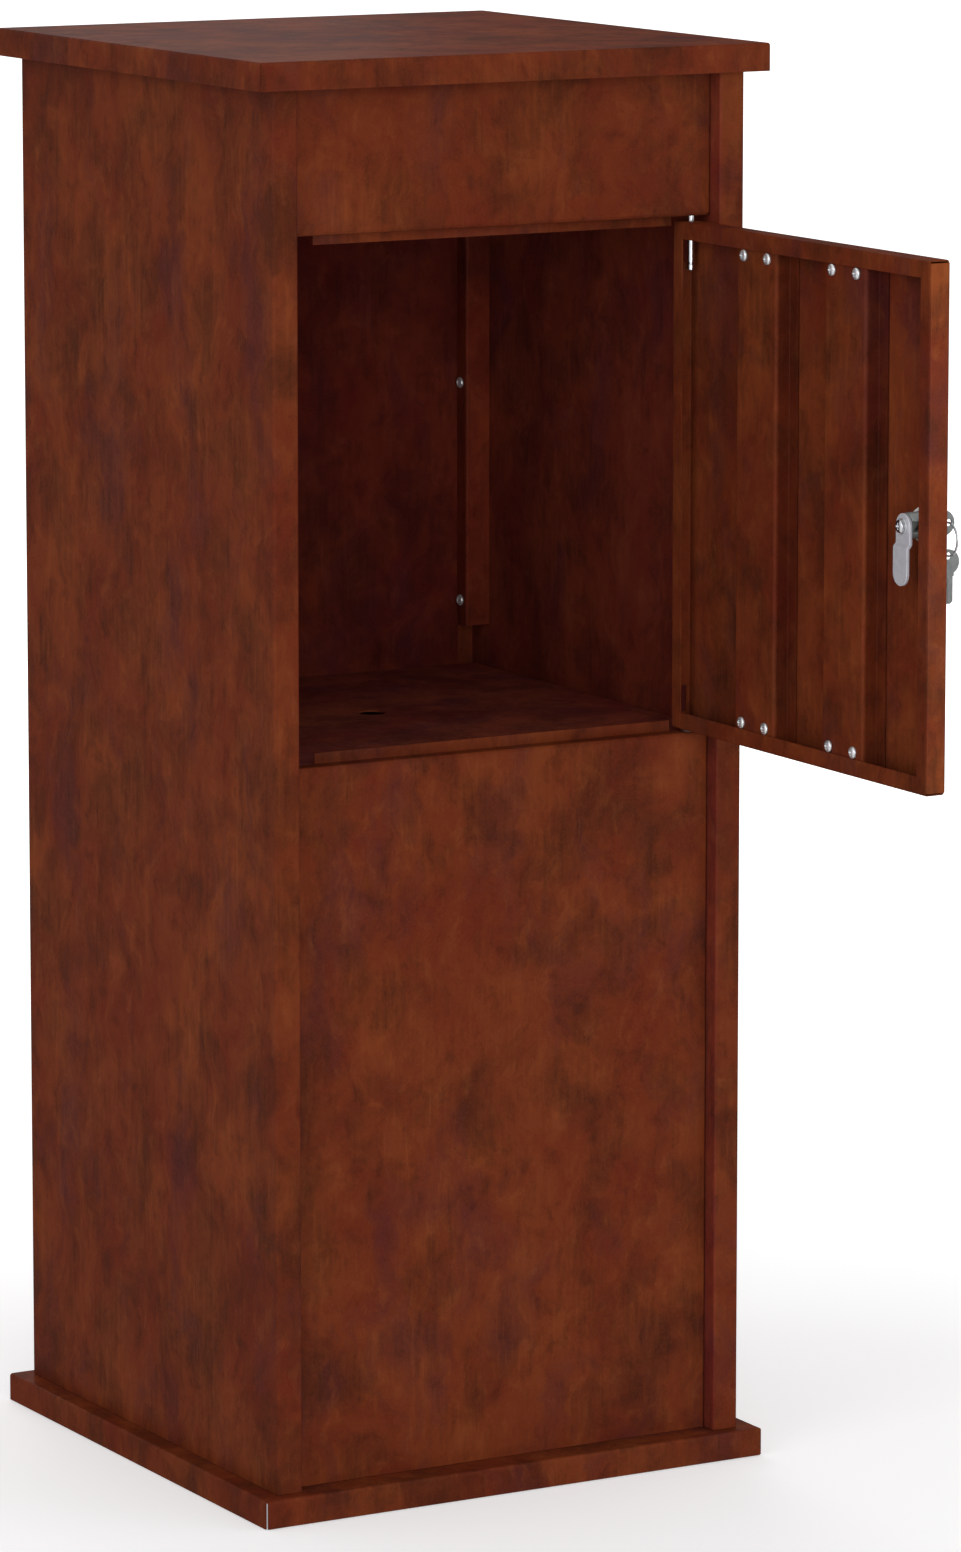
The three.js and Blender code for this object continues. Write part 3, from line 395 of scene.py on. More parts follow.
@dataclass(frozen=True)
class Rust:
    """Mottled rust on sheet steel, sealed to a satin surface.

    Orange and red rust lie in patches a hand wide. Dark wisps, purple smudges and fine flecks lie over
    them, with faint upright brush marks. Each piece has its own shift, so that two sheets never share one
    pattern. One part of a sheet can carry painted light or painted shade, as a tint of its own.
    """

    red: Color = linear(101, 39, 24)
    orange: Color = linear(118, 56, 29)
    brown: Color = linear(62, 31, 20)
    purple: Color = linear(70, 34, 39)
    fleck: Color = linear(138, 73, 40)
    bend_scale: float = 16.0
    bend_layers: float = 3.0
    bend_reach: float = 0.05
    patches: Pattern = Pattern(13, 8, 0.64, (1, 1, 0.7))
    wisps: Pattern = Pattern(20, 8, 0.66, (1, 1, 0.8), (3.1, 1.7, 0.4))
    shade: Pattern = Pattern(5, 3, 0.5, (1, 1, 0.7), (5.5, 2.9, 1.2))
    smudges: Pattern = Pattern(17, 6, 0.62, (1, 1, 0.45), (7.3, 0.2, 5.4))
    clouds: Pattern = Pattern(62, 6, 0.66, (1, 1, 0.6), (0.6, 4.2, 2.8))
    brush: Pattern = Pattern(230, 4, 0.62, (1, 1, 0.09))
    grain: Pattern = Pattern(620, 3, 0.6)
    roughness: float = 0.50
    bump_strength: float = 0.12
    bump_height: float = 0.0008
    coat: float = 0.055
    coat_roughness: float = 0.32
    shift: Point = (0.0, 0.0, 0.0)
    tint: Tint | None = None
    slot: Slot = Slot.RUST

    def bent(self, surface: Surface, place: Value) -> Value:
        """Bends a place on the surface a little, so that the patches get ragged edges.

        Args:
            surface: The surface.
            place: The place.

        Returns:
            The bent place.
        """
        inputs = {"Vector": place, "Scale": self.bend_scale, "Detail": self.bend_layers}
        bend = surface.node("ShaderNodeTexNoise", {}, inputs, "Color")
        settings = {"operation": "MULTIPLY_ADD"}
        return surface.node("ShaderNodeVectorMath", settings, {0: bend, 1: (self.bend_reach,) * 3, 2: place})

    def material(self, name: str) -> bpy.types.Material:
        """Builds the material.

        Args:
            name: The material's name.

        Returns:
            The material.
        """
        surface = Surface(name)
        place = surface.node("ShaderNodeTexCoord", output="Object")
        place = surface.stretched(place, UNSTRETCHED, self.shift)
        bent = self.bent(surface, place)
        patches, wisps, smudges, clouds = [
            pattern.on(surface, bent) for pattern in (self.patches, self.wisps, self.smudges, self.clouds)]
        shade, brush, grain = [
            pattern.on(surface, place) for pattern in (self.shade, self.brush, self.grain)]
        color = surface.mixed((patches * 0.7 + clouds * 0.3).between(0.40, 0.62), self.red, self.orange)
        for share, tone in (
            ((wisps * 0.75 + shade * 0.25).between(0.46, 0.62) * 0.66, self.brown),
            (smudges.between(0.52, 0.68) * 0.50, self.purple),
            (clouds.between(0.56, 0.76) * 0.34, self.fleck),
            (clouds.between(0.45, 0.30) * 0.45, self.brown),
            (brush.between(0.47, 0.34) * wisps.between(0.42, 0.60) * 0.45, self.brown),
            (brush.between(0.54, 0.68) * patches.between(0.45, 0.60) * 0.25, self.fleck),
            (grain.between(0.40, 0.72) * 0.12, self.fleck),
        ):
            color = surface.mixed(share, color, tone)
        # Painted light or shade, laid over one part of the sheet where it has a tint.
        if self.tint:
            color = self.tint.over(surface, color)
        bump = surface.node("ShaderNodeBump", {}, {
            "Height": clouds * 0.5 + brush * 0.2 + grain * 0.3,
            "Strength": self.bump_strength,
            "Distance": self.bump_height,
        })
        return surface.finish(surface.node("ShaderNodeBsdfPrincipled", {}, {
            "Base Color": color,
            "Roughness": self.roughness + clouds * 0.20,
            "Specular IOR Level": 0.0,
            "Coat Weight": self.coat,
            "Coat Roughness": self.coat_roughness,
            "Normal": bump,
        }))


@dataclass(frozen=True)
class Plated:
    """Bright plated steel with fine wear in its gloss."""

    color: Color = linear(222, 222, 224)
    dull: Color = linear(188, 188, 191)
    gloss: float = 0.26
    metal: float = 0.72
    slot: Slot = Slot.ZINC
    cloud: Pattern = Pattern(180, 3, 0.6)
    scratch: Pattern = Pattern(2600, 2, 0.5, (1, 1, 0.15))
    bump_strength: float = 0.10
    bump_height: float = 0.0001

    def material(self, name: str) -> bpy.types.Material:
        """Builds the material.

        Args:
            name: The material's name.

        Returns:
            The material.
        """
        surface = Surface(name)
        place = surface.node("ShaderNodeTexCoord", output="Object")
        cloud = self.cloud.on(surface, place)
        bump = surface.node("ShaderNodeBump", {}, {
            "Height": self.scratch.on(surface, place),
            "Strength": self.bump_strength,
            "Distance": self.bump_height,
        })
        return surface.finish(surface.node("ShaderNodeBsdfPrincipled", {}, {
            "Base Color": surface.mixed(cloud.between(0.45, 0.72) * 0.6, self.color, self.dull),
            "Metallic": self.metal,
            "Roughness": self.gloss + cloud * 0.10,
            "Normal": bump,
        }))


Finish = Rust | Plated


def bend_arc(before: Vector, corner: Vector, after: Vector, bend: float, offset: float) -> list[Vector]:
    """Rounds one corner of a folded strip.

    Args:
        before: The path point before the corner.
        corner: The corner.
        after: The path point after it.
        bend: The bend radius at the middle of the sheet.
        offset: How far to the left of the path the wanted side is.

    Returns:
        The points of the arc on that side.
    """
    into = (corner - before).normalized()
    out = (after - corner).normalized()
    turn = math.copysign(1.0, into.cross(out))
    angle = math.acos(max(-1.0, min(1.0, into.dot(out))))
    start = corner - into * (bend * math.tan(angle / 2))
    centre = start + Vector((-into.y, into.x)) * (turn * bend)
    first = math.atan2(start.y - centre.y, start.x - centre.x)
    radius = bend - turn * offset
    angles = [first + turn * angle * k / BEND_STEPS for k in range(BEND_STEPS + 1)]
    return [centre + Vector((math.cos(a), math.sin(a))) * radius for a in angles]


def strip_side(corners: Sequence[Vector], bends: Sequence[float], offset: float) -> list[Vector]:
    """Draws one side of a folded strip.

    Args:
        corners: The path's points.
        bends: The radius of each bend at the middle of the sheet.
        offset: How far to the left of the path the side is.

    Returns:
        The side's points.
    """
    first = (corners[1] - corners[0]).normalized()
    last = (corners[-1] - corners[-2]).normalized()
    points = [corners[0] + Vector((-first.y, first.x)) * offset]
    for bend, before, corner, after in zip(bends, corners, corners[1:], corners[2:]):
        points += bend_arc(before, corner, after, bend, offset)
    return points + [corners[-1] + Vector((-last.y, last.x)) * offset]


def strip(path: Outline, thickness: float = SHEET) -> list[Point]:
    """Draws the section of a sheet folded along a path that runs through the middle of its thickness.

    Args:
        path: Points [x, y] or [x, y, bend radius at the middle of the sheet].
        thickness: The sheet's thickness.

    Returns:
        The outline.
    """
    corners = [Vector(point[:2]) for point in path]
    usual = INSIDE_BEND + thickness / 2
    bends = [point[2] if len(point) > 2 else usual for point in path[1:-1]]
    outline = strip_side(corners, bends, thickness / 2) + strip_side(corners, bends, -thickness / 2)[::-1]
    return [tuple(p) for i, p in enumerate(outline) if (p - outline[i - 1]).length > SAME_POINT]


class Solid:
    """A closed mesh in millimetres, and the ways that one is made, joined and cut."""

    def __init__(self, mesh: bpy.types.Mesh) -> None:
        """Wraps a closed mesh."""
        self.mesh = mesh

    @classmethod
    def of(cls, points: Iterable[Point], faces: Iterable[Sequence[int]]) -> "Solid":
        """Makes a solid from points and faces, and turns every face outwards.

        Args:
            points: The points.
            faces: Each face's point numbers.

        Returns:
            The solid.
        """
        mesh = bpy.data.meshes.new("work")
        mesh.from_pydata(list(points), [], list(faces))
        work = bmesh.new()
        work.from_mesh(mesh)
        bmesh.ops.recalc_face_normals(work, faces=work.faces)
        work.to_mesh(mesh)
        work.free()
        return cls(mesh)

    @classmethod
    def tube(cls, rows: Sequence[Outline]) -> "Solid":
        """Joins up rings of points that all have as many points, and closes both ends.

        Args:
            rows: The rings, from one end to the other.

        Returns:
            The solid.
        """
        count = len(rows[0])
        last = (len(rows) - 1) * count
        walls = [
            (start + k, start + (k + 1) % count, start + count + (k + 1) % count, start + count + k)
            for start in range(0, last, count) for k in range(count)]
        points = [point for row in rows for point in row]
        return cls.of(points, [tuple(range(count)), tuple(range(last, last + count)), *walls])

    @classmethod
    def pushed(cls, outline: Outline, axis: Axis, low: float, high: float) -> "Solid":
        """Pushes an outline out along an axis, from low to high."""
        return cls.tube([[axis.point(u, v, along) for u, v in outline] for along in (low, high)])

    @classmethod
    def block(cls, xs: Span, ys: Span, zs: Span) -> "Solid":
        """Makes a block between two places on each axis, given in any order."""
        (x0, x1), (y0, y1) = sorted(xs), sorted(ys)
        return cls.pushed([(x0, y0), (x1, y0), (x1, y1), (x0, y1)], Axis.Z, *sorted(zs))

    @classmethod
    def bar(
        cls, radius: float, axis: Axis, low: float, high: float,
        at: Span = (0.0, 0.0), sides: int = ROUND_SIDES,
    ) -> "Solid":
        """Makes a straight bar.

        Args:
            radius: Its radius, or half its width across corners.
            axis: The axis that it runs along.
            low: Where it starts.
            high: Where it ends.
            at: Its place on the two other axes.
            sides: How many sides it has.

        Returns:
            The solid.
        """
        angles = [2 * math.pi * k / sides for k in range(sides)]
        ring = [(at[0] + radius * math.cos(a), at[1] + radius * math.sin(a)) for a in angles]
        return cls.pushed(ring, axis, low, high)

    @classmethod
    def lathed(cls, profile: Outline, axis: Axis, sides: int = ROUND_SIDES) -> "Solid":
        """Turns a profile about an axis.

        Args:
            profile: Pairs of radius and height that start and end on the axis.
            axis: The axis.
            sides: How many sides it has.

        Returns:
            The solid.
        """
        points, rings, faces = [], [], []
        for radius, height in profile:
            count = sides if radius > 0 else 1
            rings.append([len(points) + k for k in range(count)])
            for k in range(count):
                angle = 2 * math.pi * k / sides
                points.append(axis.point(radius * math.cos(angle), radius * math.sin(angle), height))
        for one, two in zip(rings, rings[1:]):
            for k in range(sides):
                after = k + 1
                corners = (
                    one[k % len(one)], one[after % len(one)], two[after % len(two)], two[k % len(two)])
                faces.append(tuple(dict.fromkeys(corners)))
        return cls.of(points, faces)

    @classmethod
    def threaded(
        cls, radius: float, pitch: float, axis: Axis, low: float, high: float, sides: int = 24,
    ) -> "Solid":
        """Makes a threaded rod with tapered ends.

        Args:
            radius: The radius over the crests.
            pitch: The length of one turn.
            axis: The axis that it runs along.
            low: Where it starts.
            high: Where it ends.
            sides: How many sides it has.

        Returns:
            The solid.
        """
        depth = THREAD_DEPTH * pitch
        steps = max(2, round((high - low) / pitch * THREAD_ROWS))
        rows = []
        for step in range(steps + 1):
            along = low + (high - low) * step / steps
            from_end = min(along - low, high - along)
            row = []
            for k in range(sides):
                phase = (along / pitch - k / sides) % 1
                crest = radius - depth * abs(2 * phase - 1)
                reach = min(crest, radius - depth + from_end)
                angle = 2 * math.pi * k / sides
                row.append(axis.point(reach * math.cos(angle), reach * math.sin(angle), along))
            rows.append(row)
        return cls.tube(rows)

    def moved(self, matrix: Matrix) -> "Solid":
        """Makes a copy and moves it.

        Args:
            matrix: The move.

        Returns:
            The copy.
        """
        mesh = self.mesh.copy()
        mesh.transform(matrix)
        return Solid(mesh)

    def joined(self, *others: "Solid") -> "Solid":
        """Returns this solid and the others as one."""
        return self._combined(Combine.JOIN, others)

    def without(self, *others: "Solid") -> "Solid":
        """Returns this solid with the others cut out of it."""
        return self._combined(Combine.CUT, others)

    def common(self, other: "Solid") -> "Solid":
        """Returns what this solid and another one share."""
        return self._combined(Combine.SHARE, (other,))

    def _combined(self, way: Combine, others: Sequence["Solid"]) -> "Solid":
        """Combines solids.

        Args:
            way: The way in which they are combined.
            others: The solids that are added, taken away or shared, in order.

        Returns:
            The result.
        """
        objects = [bpy.data.objects.new("work", solid.mesh) for solid in (self, *others)]
        for made in objects:
            bpy.context.scene.collection.objects.link(made)
        for tool in objects[1:]:
            step = objects[0].modifiers.new("step", "BOOLEAN")
            step.operation = way.value
            step.solver = "MANIFOLD"
            step.object = tool
        graph = bpy.context.evaluated_depsgraph_get()
        mesh = bpy.data.meshes.new_from_object(objects[0].evaluated_get(graph))
        for made in objects:
            bpy.data.objects.remove(made)
        return Solid(mesh)


def upright_drill(radius: float, at: Span, low: float, high: float) -> Solid:
    """Returns the cutter of a round hole straight up through a sheet that lies from low to high."""
    return Solid.bar(radius, Axis.Z, low - CUT_PAST, high + CUT_PAST, at)


def finished_mesh(name: str, solid: Solid, place: Matrix, material: bpy.types.Material) -> bpy.types.Mesh:
    """Makes a piece's mesh, in metres, without needless edges on its flats.

    Args:
        name: The mesh's name.
        solid: The piece's shape, in millimetres.
        place: Where the shape's own frame is, in millimetres.
        material: Its material.

    Returns:
        The mesh.
    """
    mesh = solid.mesh.copy()
    mesh.name = name
    mesh.transform(Matrix.Scale(MM, 4) @ place)
    work = bmesh.new()
    work.from_mesh(mesh)
    bmesh.ops.dissolve_limit(work, angle_limit=FLAT_ANGLE, verts=work.verts, edges=work.edges)
    work.to_mesh(mesh)
    work.free()
    mesh.shade_smooth()
    mesh.set_sharp_from_angle(angle=SHARP_ANGLE)
    mesh.materials.clear()
    mesh.materials.append(material)
    return mesh


def soften_edges(piece: bpy.types.Object, width: float) -> None:
    """Bevels a piece's sharp edges.

    Args:
        piece: The piece.
        width: The bevel's width, in millimetres.
    """
    bevel = piece.modifiers.new("soft_edges", "BEVEL")
    bevel.width = width * MM
    bevel.segments = BEVEL_SEGMENTS
    bevel.limit_method = "ANGLE"
    bevel.angle_limit = BEVEL_ANGLE
    bevel.use_clamp_overlap = False
    piece.modifiers.new("even_shading", "WEIGHTED_NORMAL").keep_sharp = True


def place_piece(
    node: str, solid: Solid, place: Matrix, body: Body, finish: Finish, edge: float = EDGE_WIDTH,
) -> None:
    """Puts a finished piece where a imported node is, and lets it stand for that node.

    Args:
        node: The node's name.
        solid: The piece's shape, in millimetres.
        place: Where the shape's own frame is, in millimetres.
        body: The body that it moves with.
        finish: Its finish.
        edge: The width of the bevel on its sharp edges, in millimetres.
    """
    mesh = finished_mesh(f"{node}_mesh", solid, place, finish.material(f"{node}_finish"))
    piece = bpy.data.objects.new(f"{node}_piece", mesh)
    bpy.context.scene.collection.objects.link(piece)
    soften_edges(piece, edge)
    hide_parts(node)
    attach(piece, body.value)
    log.info("%s: %d points, rides on %s", piece.name, len(mesh.vertices), body.value)


@dataclass(frozen=True)
class Carcass:
    """Sizes that the sheets of the box share. Y is counted from the middle of the box."""

    height: float = 1032.0
    width: float = 380.0
    depth: float = 393.0
    edge: float = 20.0
    side_overhang: float = 15.0
    face_overhang: float = 11.0
    post_face: float = 20.0
    post_return: float = 26.0
    recess: float = 12.5
    sheet: float = SHEET
    gap: float = 0.3
    opening_top: float = 909.0
    opening_bottom: float = 536.5
    ledge: float = 13.0
    hinge_pin: Span = (156.2, -179.9)
    flange_end: float = 148.5
    screw_hole: float = 2.35
    foot_places: tuple[Span, ...] = ((-178, -120), (-178, 120), (178, -120), (178, 120))
    rail_screw_y: float = 176.3
    rail_screw_heights: tuple[float, ...] = (585.5, 752.5)

    @property
    def outer_bend(self) -> float:
        """The radius on the outside of a bend."""
        return self.sheet + INSIDE_BEND

    @property
    def half_sheet(self) -> float:
        """Half the thickness of the sheet."""
        return self.sheet / 2

    @property
    def bottom(self) -> float:
        """Where the body starts, on the foot."""
        return self.edge + self.gap

    @property
    def top(self) -> float:
        """Where the body ends, under the cap."""
        return self.height - self.sheet - self.gap

    @property
    def post_inside(self) -> float:
        """The X of the post faces' inner edge."""
        return self.width / 2 - self.post_face

    @property
    def panel_half(self) -> float:
        """Half the width of a recessed panel."""
        return self.post_inside - self.gap

    @property
    def face(self) -> float:
        """How far the recessed panels' faces are from the middle."""
        return self.depth / 2 - self.recess

    @property
    def tray_size(self) -> Span:
        """The width and depth of the cap and of the foot."""
        return self.width + 2 * self.side_overhang, self.depth + 2 * self.face_overhang

    @property
    def place(self) -> Matrix:
        """Where the middle of the box is."""
        return Matrix.Translation((0, self.tray_size[1] / 2 - self.half_sheet, 0))

    def rail_holes(self, side: Side) -> list[Solid]:
        """Makes the cutters of the holes through one post's return and the rail beside it.

        Args:
            side: The post's side.

        Returns:
            The cutters.
        """
        reach = self.sheet + self.gap + CUT_PAST
        middle = side * self.post_inside
        return [
            Solid.bar(self.screw_hole, Axis.X, middle - reach, middle + reach, (self.rail_screw_y, z))
            for z in self.rail_screw_heights]


@dataclass
class Finishes:
    """Hands out the finishes. No two sheets get the same piece of the rust pattern."""

    zinc: Plated = Plated()
    polished_zinc: Plated = Plated(linear(214, 216, 220), linear(186, 188, 192), 0.14, 1.0)
    cast_zinc: Plated = Plated(linear(206, 205, 212), linear(186, 185, 192), 0.36, 0.35)
    nickel: Plated = Plated(linear(132, 135, 134), linear(96, 99, 98), 0.28, 0.6)
    oiled: Plated = Plated(linear(66, 50, 44), linear(46, 36, 32), 0.45, 0.3)
    chrome: Plated = replace(polished_zinc, slot=Slot.CHROME)
    satin_chrome: Plated = Plated(linear(150, 154, 152), linear(112, 116, 114), 0.3, 0.6, Slot.CHROME)
    pale_chrome: Plated = Plated(linear(246, 246, 244), linear(226, 226, 224), 0.3, 0.15, Slot.CHROME)
    pattern_step: Point = (1.37, 0.71, 2.13)
    handed_out: int = 0

    def rust(self, tint: Tint | None = None) -> Rust:
        """Hands out the rust of the next sheet.

        Args:
            tint: The tint that paints light or shade on one part of the sheet, if it has one.

        Returns:
            The rust.
        """
        self.handed_out += 1
        shift = tuple(self.handed_out * step for step in self.pattern_step)
        return Rust(shift=shift, tint=tint)


def folded_tray(
    box: Carcass, width: float, depth: float, edge: float, top: float, seam: float = 2.0,
) -> Solid:
    """Folds the four edges of a plate down. The corners stay open.

    Args:
        box: The sizes of the sheet.
        width: The tray's size along X.
        depth: Its size along Y.
        edge: The height of its edges.
        top: The Z of its upper face.
        seam: How far each folded edge stops short of the corner.

    Returns:
        The tray.
    """
    middle = top - box.half_sheet

    def channel(half: float) -> list[Point]:
        """Draws the section of the plate with two of its edges."""
        return strip([(-half, top - edge), (-half, middle), (half, middle), (half, top - edge)])

    across = Solid.pushed(channel(depth / 2 - box.half_sheet), Axis.X, seam - width / 2, width / 2 - seam)
    along = Solid.pushed(channel(width / 2 - box.half_sheet), Axis.Y, seam - depth / 2, depth / 2 - seam)
    return across.joined(along)


@dataclass
class FootAndCap:
    """The two trays that the body stands on and under."""

    box: Carcass
    finishes: Finishes
    anchor_hole: float = 5.0
    anchor_places: tuple[Span, ...] = ((-140, -140), (-140, 140), (140, -140), (140, 140))
    stud_radius: float = 2.5
    stud_length: float = 9.0
    stud_pitch: float = 0.8
    foot_seam: float = 1.75
    cap_seam: float = 0.9

    def foot(self) -> Solid:
        """Folds the foot and drills its anchor holes and screw holes.

        Returns:
            The foot.
        """
        box = self.box
        plate = (box.edge - box.sheet, box.edge)
        anchors = [upright_drill(self.anchor_hole, at, *plate) for at in self.anchor_places]
        screws = [upright_drill(box.screw_hole, at, *plate) for at in box.foot_places]
        tray = folded_tray(box, *box.tray_size, box.edge, box.edge, self.foot_seam)
        return tray.without(*anchors, *screws)

    def cap(self) -> Solid:
        """Folds the cap and welds four threaded studs under it.

        Returns:
            The cap.
        """
        box = self.box
        underside = box.height - box.sheet
        span = (underside - self.stud_length, underside + box.half_sheet)
        stud = Solid.threaded(self.stud_radius, self.stud_pitch, Axis.Z, *span)
        studs = [stud.moved(Matrix.Translation((*at, 0))) for at in box.foot_places]
        tray = folded_tray(box, *box.tray_size, box.edge, box.height, self.cap_seam)
        return tray.joined(*studs)

    def build(self) -> None:
        """Places the foot and the cap."""
        place_piece("base_tray", self.foot(), self.box.place, Body.BOX, self.finishes.rust())
        place_piece("top_cap", self.cap(), self.box.place, Body.BOX, self.finishes.rust())


@dataclass
class SidePanels:
    """The two sides. Each is folded round both its corner posts and has a flange at its foot and head."""

    box: Carcass
    finishes: Finishes
    flange: float = 24.0
    stud_hole: float = 2.85
    notch_heights: Span = (499.5, 566.5)
    # Painted light: a brighter, bluer tint on the inside face of each side.
    inside_painted_shading: Color = (1.2, 1.05, 1.6)

    def wall(self, side: Side) -> float:
        """Returns the X of the middle of one side's sheet."""
        return side * (self.box.width / 2 - self.box.half_sheet)

    def end_flange(self, side: Side, low: float) -> Solid:
        """Makes the flange at one end of a panel.

        Args:
            side: The panel's side.
            low: The Z of the flange's lower face.

        Returns:
            The flange.
        """
        wall = self.wall(side)
        ys = (-self.box.flange_end, self.box.flange_end)
        return Solid.block((wall - side * self.flange, wall), ys, (low, low + self.box.sheet))

    def holes(self, side: Side) -> list[Solid]:
        """Makes the cutters of one panel's holes and of the notch for the shelf.

        Args:
            side: The panel's side.

        Returns:
            The cutters.
        """
        box = self.box
        notch = Solid.block(
            (side * (box.post_inside - CUT_PAST), side * (box.post_inside + box.sheet + CUT_PAST)),
            (box.depth / 2 - box.post_return - CUT_PAST, box.face), self.notch_heights)
        ends = [at for at in box.foot_places if at[0] * side > 0]
        feet = [upright_drill(box.screw_hole, at, box.bottom, box.bottom + box.sheet) for at in ends]
        heads = [upright_drill(self.stud_hole, at, box.top - box.sheet, box.top) for at in ends]
        return [notch, *feet, *heads, *box.rail_holes(side)]

    def panel(self, side: Side) -> Solid:
        """Folds one side panel.

        Args:
            side: The panel's side.

        Returns:
            The panel.
        """
        box = self.box
        wall = self.wall(side)
        inner = side * (box.post_inside + box.half_sheet)
        face = box.depth / 2 - box.half_sheet
        end = box.depth / 2 - box.post_return
        section = strip([
            (inner, -end), (inner, -face), (wall, -face), (wall, face), (inner, face), (inner, end)])
        flanges = [self.end_flange(side, low) for low in (box.bottom, box.top - box.sheet)]
        upright = Solid.pushed(section, Axis.Z, box.bottom, box.top)
        return upright.joined(*flanges).without(*self.holes(side))

    def build(self) -> None:
        """Places both side panels."""
        for side in Side:
            # The inside face of each side gets painted light.
            rust = self.finishes.rust(Tint(self.inside_painted_shading, (-side, 0, 0)))
            name = f"{side.name.lower()}_side_panel"
            place_piece(name, self.panel(side), self.box.place, Body.BOX, rust)


@dataclass
class DoorWall:
    """The recessed panels above and below the door opening, each with a ledge and a stop lip."""

    box: Carcass
    finishes: Finishes
    flange: float = 12.0
    lip: float = 7.6
    lip_inset: float = 25.0
    pin_hole: float = 2.95

    def lip_cuts(self, opening_end: float, opening: Opening) -> list[Solid]:
        """Makes the cutters that shorten a panel's stop lip at both its ends.

        Args:
            opening_end: The Z of the panel's end at the opening.
            opening: Where the opening is.

        Returns:
            The cutters.
        """
        box = self.box
        front = -box.face + box.ledge - INSIDE_BEND
        back = -box.face + box.ledge + box.half_sheet + CUT_PAST
        heights = (
            opening_end - opening * (box.sheet + CUT_PAST), opening_end + opening * (self.lip + CUT_PAST))
        return [
            Solid.block(
                (side * (box.post_inside - self.lip_inset), side * (box.panel_half + CUT_PAST)),
                (front, back), heights)
            for side in Side]

    def panel(self, plain_end: float, opening_end: float, opening: Opening) -> Solid:
        """Folds one panel.

        Args:
            plain_end: The Z of the end away from the opening.
            opening_end: The Z of the end at the opening.
            opening: Where the opening is.

        Returns:
            The panel.
        """
        box = self.box
        face = -box.face + box.half_sheet
        back = face + box.ledge
        half = box.panel_half - box.half_sheet
        ledge = opening_end - opening * box.half_sheet
        back_edge = -box.face + self.flange
        sides = strip([(-half, back_edge), (-half, face), (half, face), (half, back_edge)])
        profile = strip([
            (face, plain_end), (face, ledge), (back, ledge), (back, opening_end + opening * self.lip)])
        span = sorted((plain_end, opening_end - opening * box.outer_bend))
        reach = box.panel_half - box.outer_bend
        whole = Solid.pushed(sides, Axis.Z, *span).joined(Solid.pushed(profile, Axis.X, -reach, reach))
        pin = upright_drill(self.pin_hole, box.hinge_pin, opening_end, opening_end)
        return whole.without(*self.lip_cuts(opening_end, opening), pin)

    def build(self) -> None:
        """Places both panels."""
        box = self.box
        upper = self.panel(box.top, box.opening_top, Opening.BELOW)
        lower = self.panel(box.bottom, box.opening_bottom, Opening.ABOVE)
        place_piece("upper_door_side_panel", upper, box.place, Body.BOX, self.finishes.rust())
        place_piece("lower_door_side_panel", lower, box.place, Body.BOX, self.finishes.rust())


@dataclass
class SlotWall:
    """The recessed panel with the letter slot, and the flap that hangs on a rod in front of it."""

    box: Carcass
    finishes: Finishes
    slot_half: float = 150.0
    slot_heights: Span = (932.0, 968.0)
    flap_half: float = 155.0
    flap_bottom: float = 923.6
    pull: float = 8.0
    rod_radius: float = 2.0
    rod_at: Span = (188.55, 985.0)
    rod_hole: float = 2.35
    curl: float = 2.95
    lug_x: float = 156.0
    lug_half_height: float = 6.0
    lug_end: float = 192.55
    rivet_radius: float = 3.0
    rivet_height: float = 1.5
    # Painted shade: a darker tint on the inside face of the slot panel.
    inside_painted_shading: Color = (0.7, 0.53, 0.85)

    def lugs(self) -> list[Solid]:
        """Makes the two lugs that hold the rod.

        Returns:
            The lugs.
        """
        box = self.box
        heights = (self.rod_at[1] - self.lug_half_height, self.rod_at[1] + self.lug_half_height)
        return [
            Solid.block(
                (side * self.lug_x, side * (self.lug_x + box.sheet)),
                (box.face - box.half_sheet, self.lug_end), heights)
            for side in Side]

    def wall(self) -> Solid:
        """Makes the panel with its slot and its lugs.

        Returns:
            The panel.
        """
        box = self.box
        plate = Solid.block(
            (-box.panel_half, box.panel_half), (box.face - box.sheet, box.face), (box.bottom, box.top))
        slot = Solid.block(
            (-self.slot_half, self.slot_half),
            (box.face - box.sheet - CUT_PAST, box.face + CUT_PAST), self.slot_heights)
        reach = self.lug_x + box.sheet + CUT_PAST
        rod = Solid.bar(self.rod_hole, Axis.X, -reach, reach, self.rod_at)
        return plate.joined(*self.lugs()).without(slot, rod)

    def flap(self) -> Solid:
        """Curls the flap round its rod, and folds its lower edge out as a finger pull.

        Returns:
            The flap.
        """
        y, z = self.rod_at
        curl = self.curl
        plate = y - curl
        section = strip([
            (y - self.box.half_sheet, z - curl), (y + curl, z - curl, curl), (y + curl, z + curl, curl),
            (plate, z + curl, curl), (plate, self.flap_bottom), (plate + self.pull, self.flap_bottom)])
        return Solid.pushed(section, Axis.X, -self.flap_half, self.flap_half)

    def rod(self) -> Solid:
        """Makes the rod, with both its ends riveted over.

        Returns:
            The rod.
        """
        end = self.lug_x + self.box.sheet + self.box.gap
        half = [(self.rod_radius, end), *dome(self.rivet_radius, end, self.rivet_height)]
        other = [(radius, -along) for radius, along in reversed(half)]
        return Solid.lathed([*other, *half], Axis.X).moved(Matrix.Translation((0, *self.rod_at)))

    def build(self) -> None:
        """Places the panel, the flap and the rod."""
        place = self.box.place
        # The inside face of the panel gets painted shade.
        rust = self.finishes.rust(Tint(self.inside_painted_shading, (0, -1, 0)))
        place_piece("slot_side_panel", self.wall(), place, Body.BOX, rust)
        place_piece("mail_flap", self.flap(), place, Body.FLAP, self.finishes.rust())
        place_piece("flap_pin", self.rod(), place, Body.BOX, self.finishes.zinc)


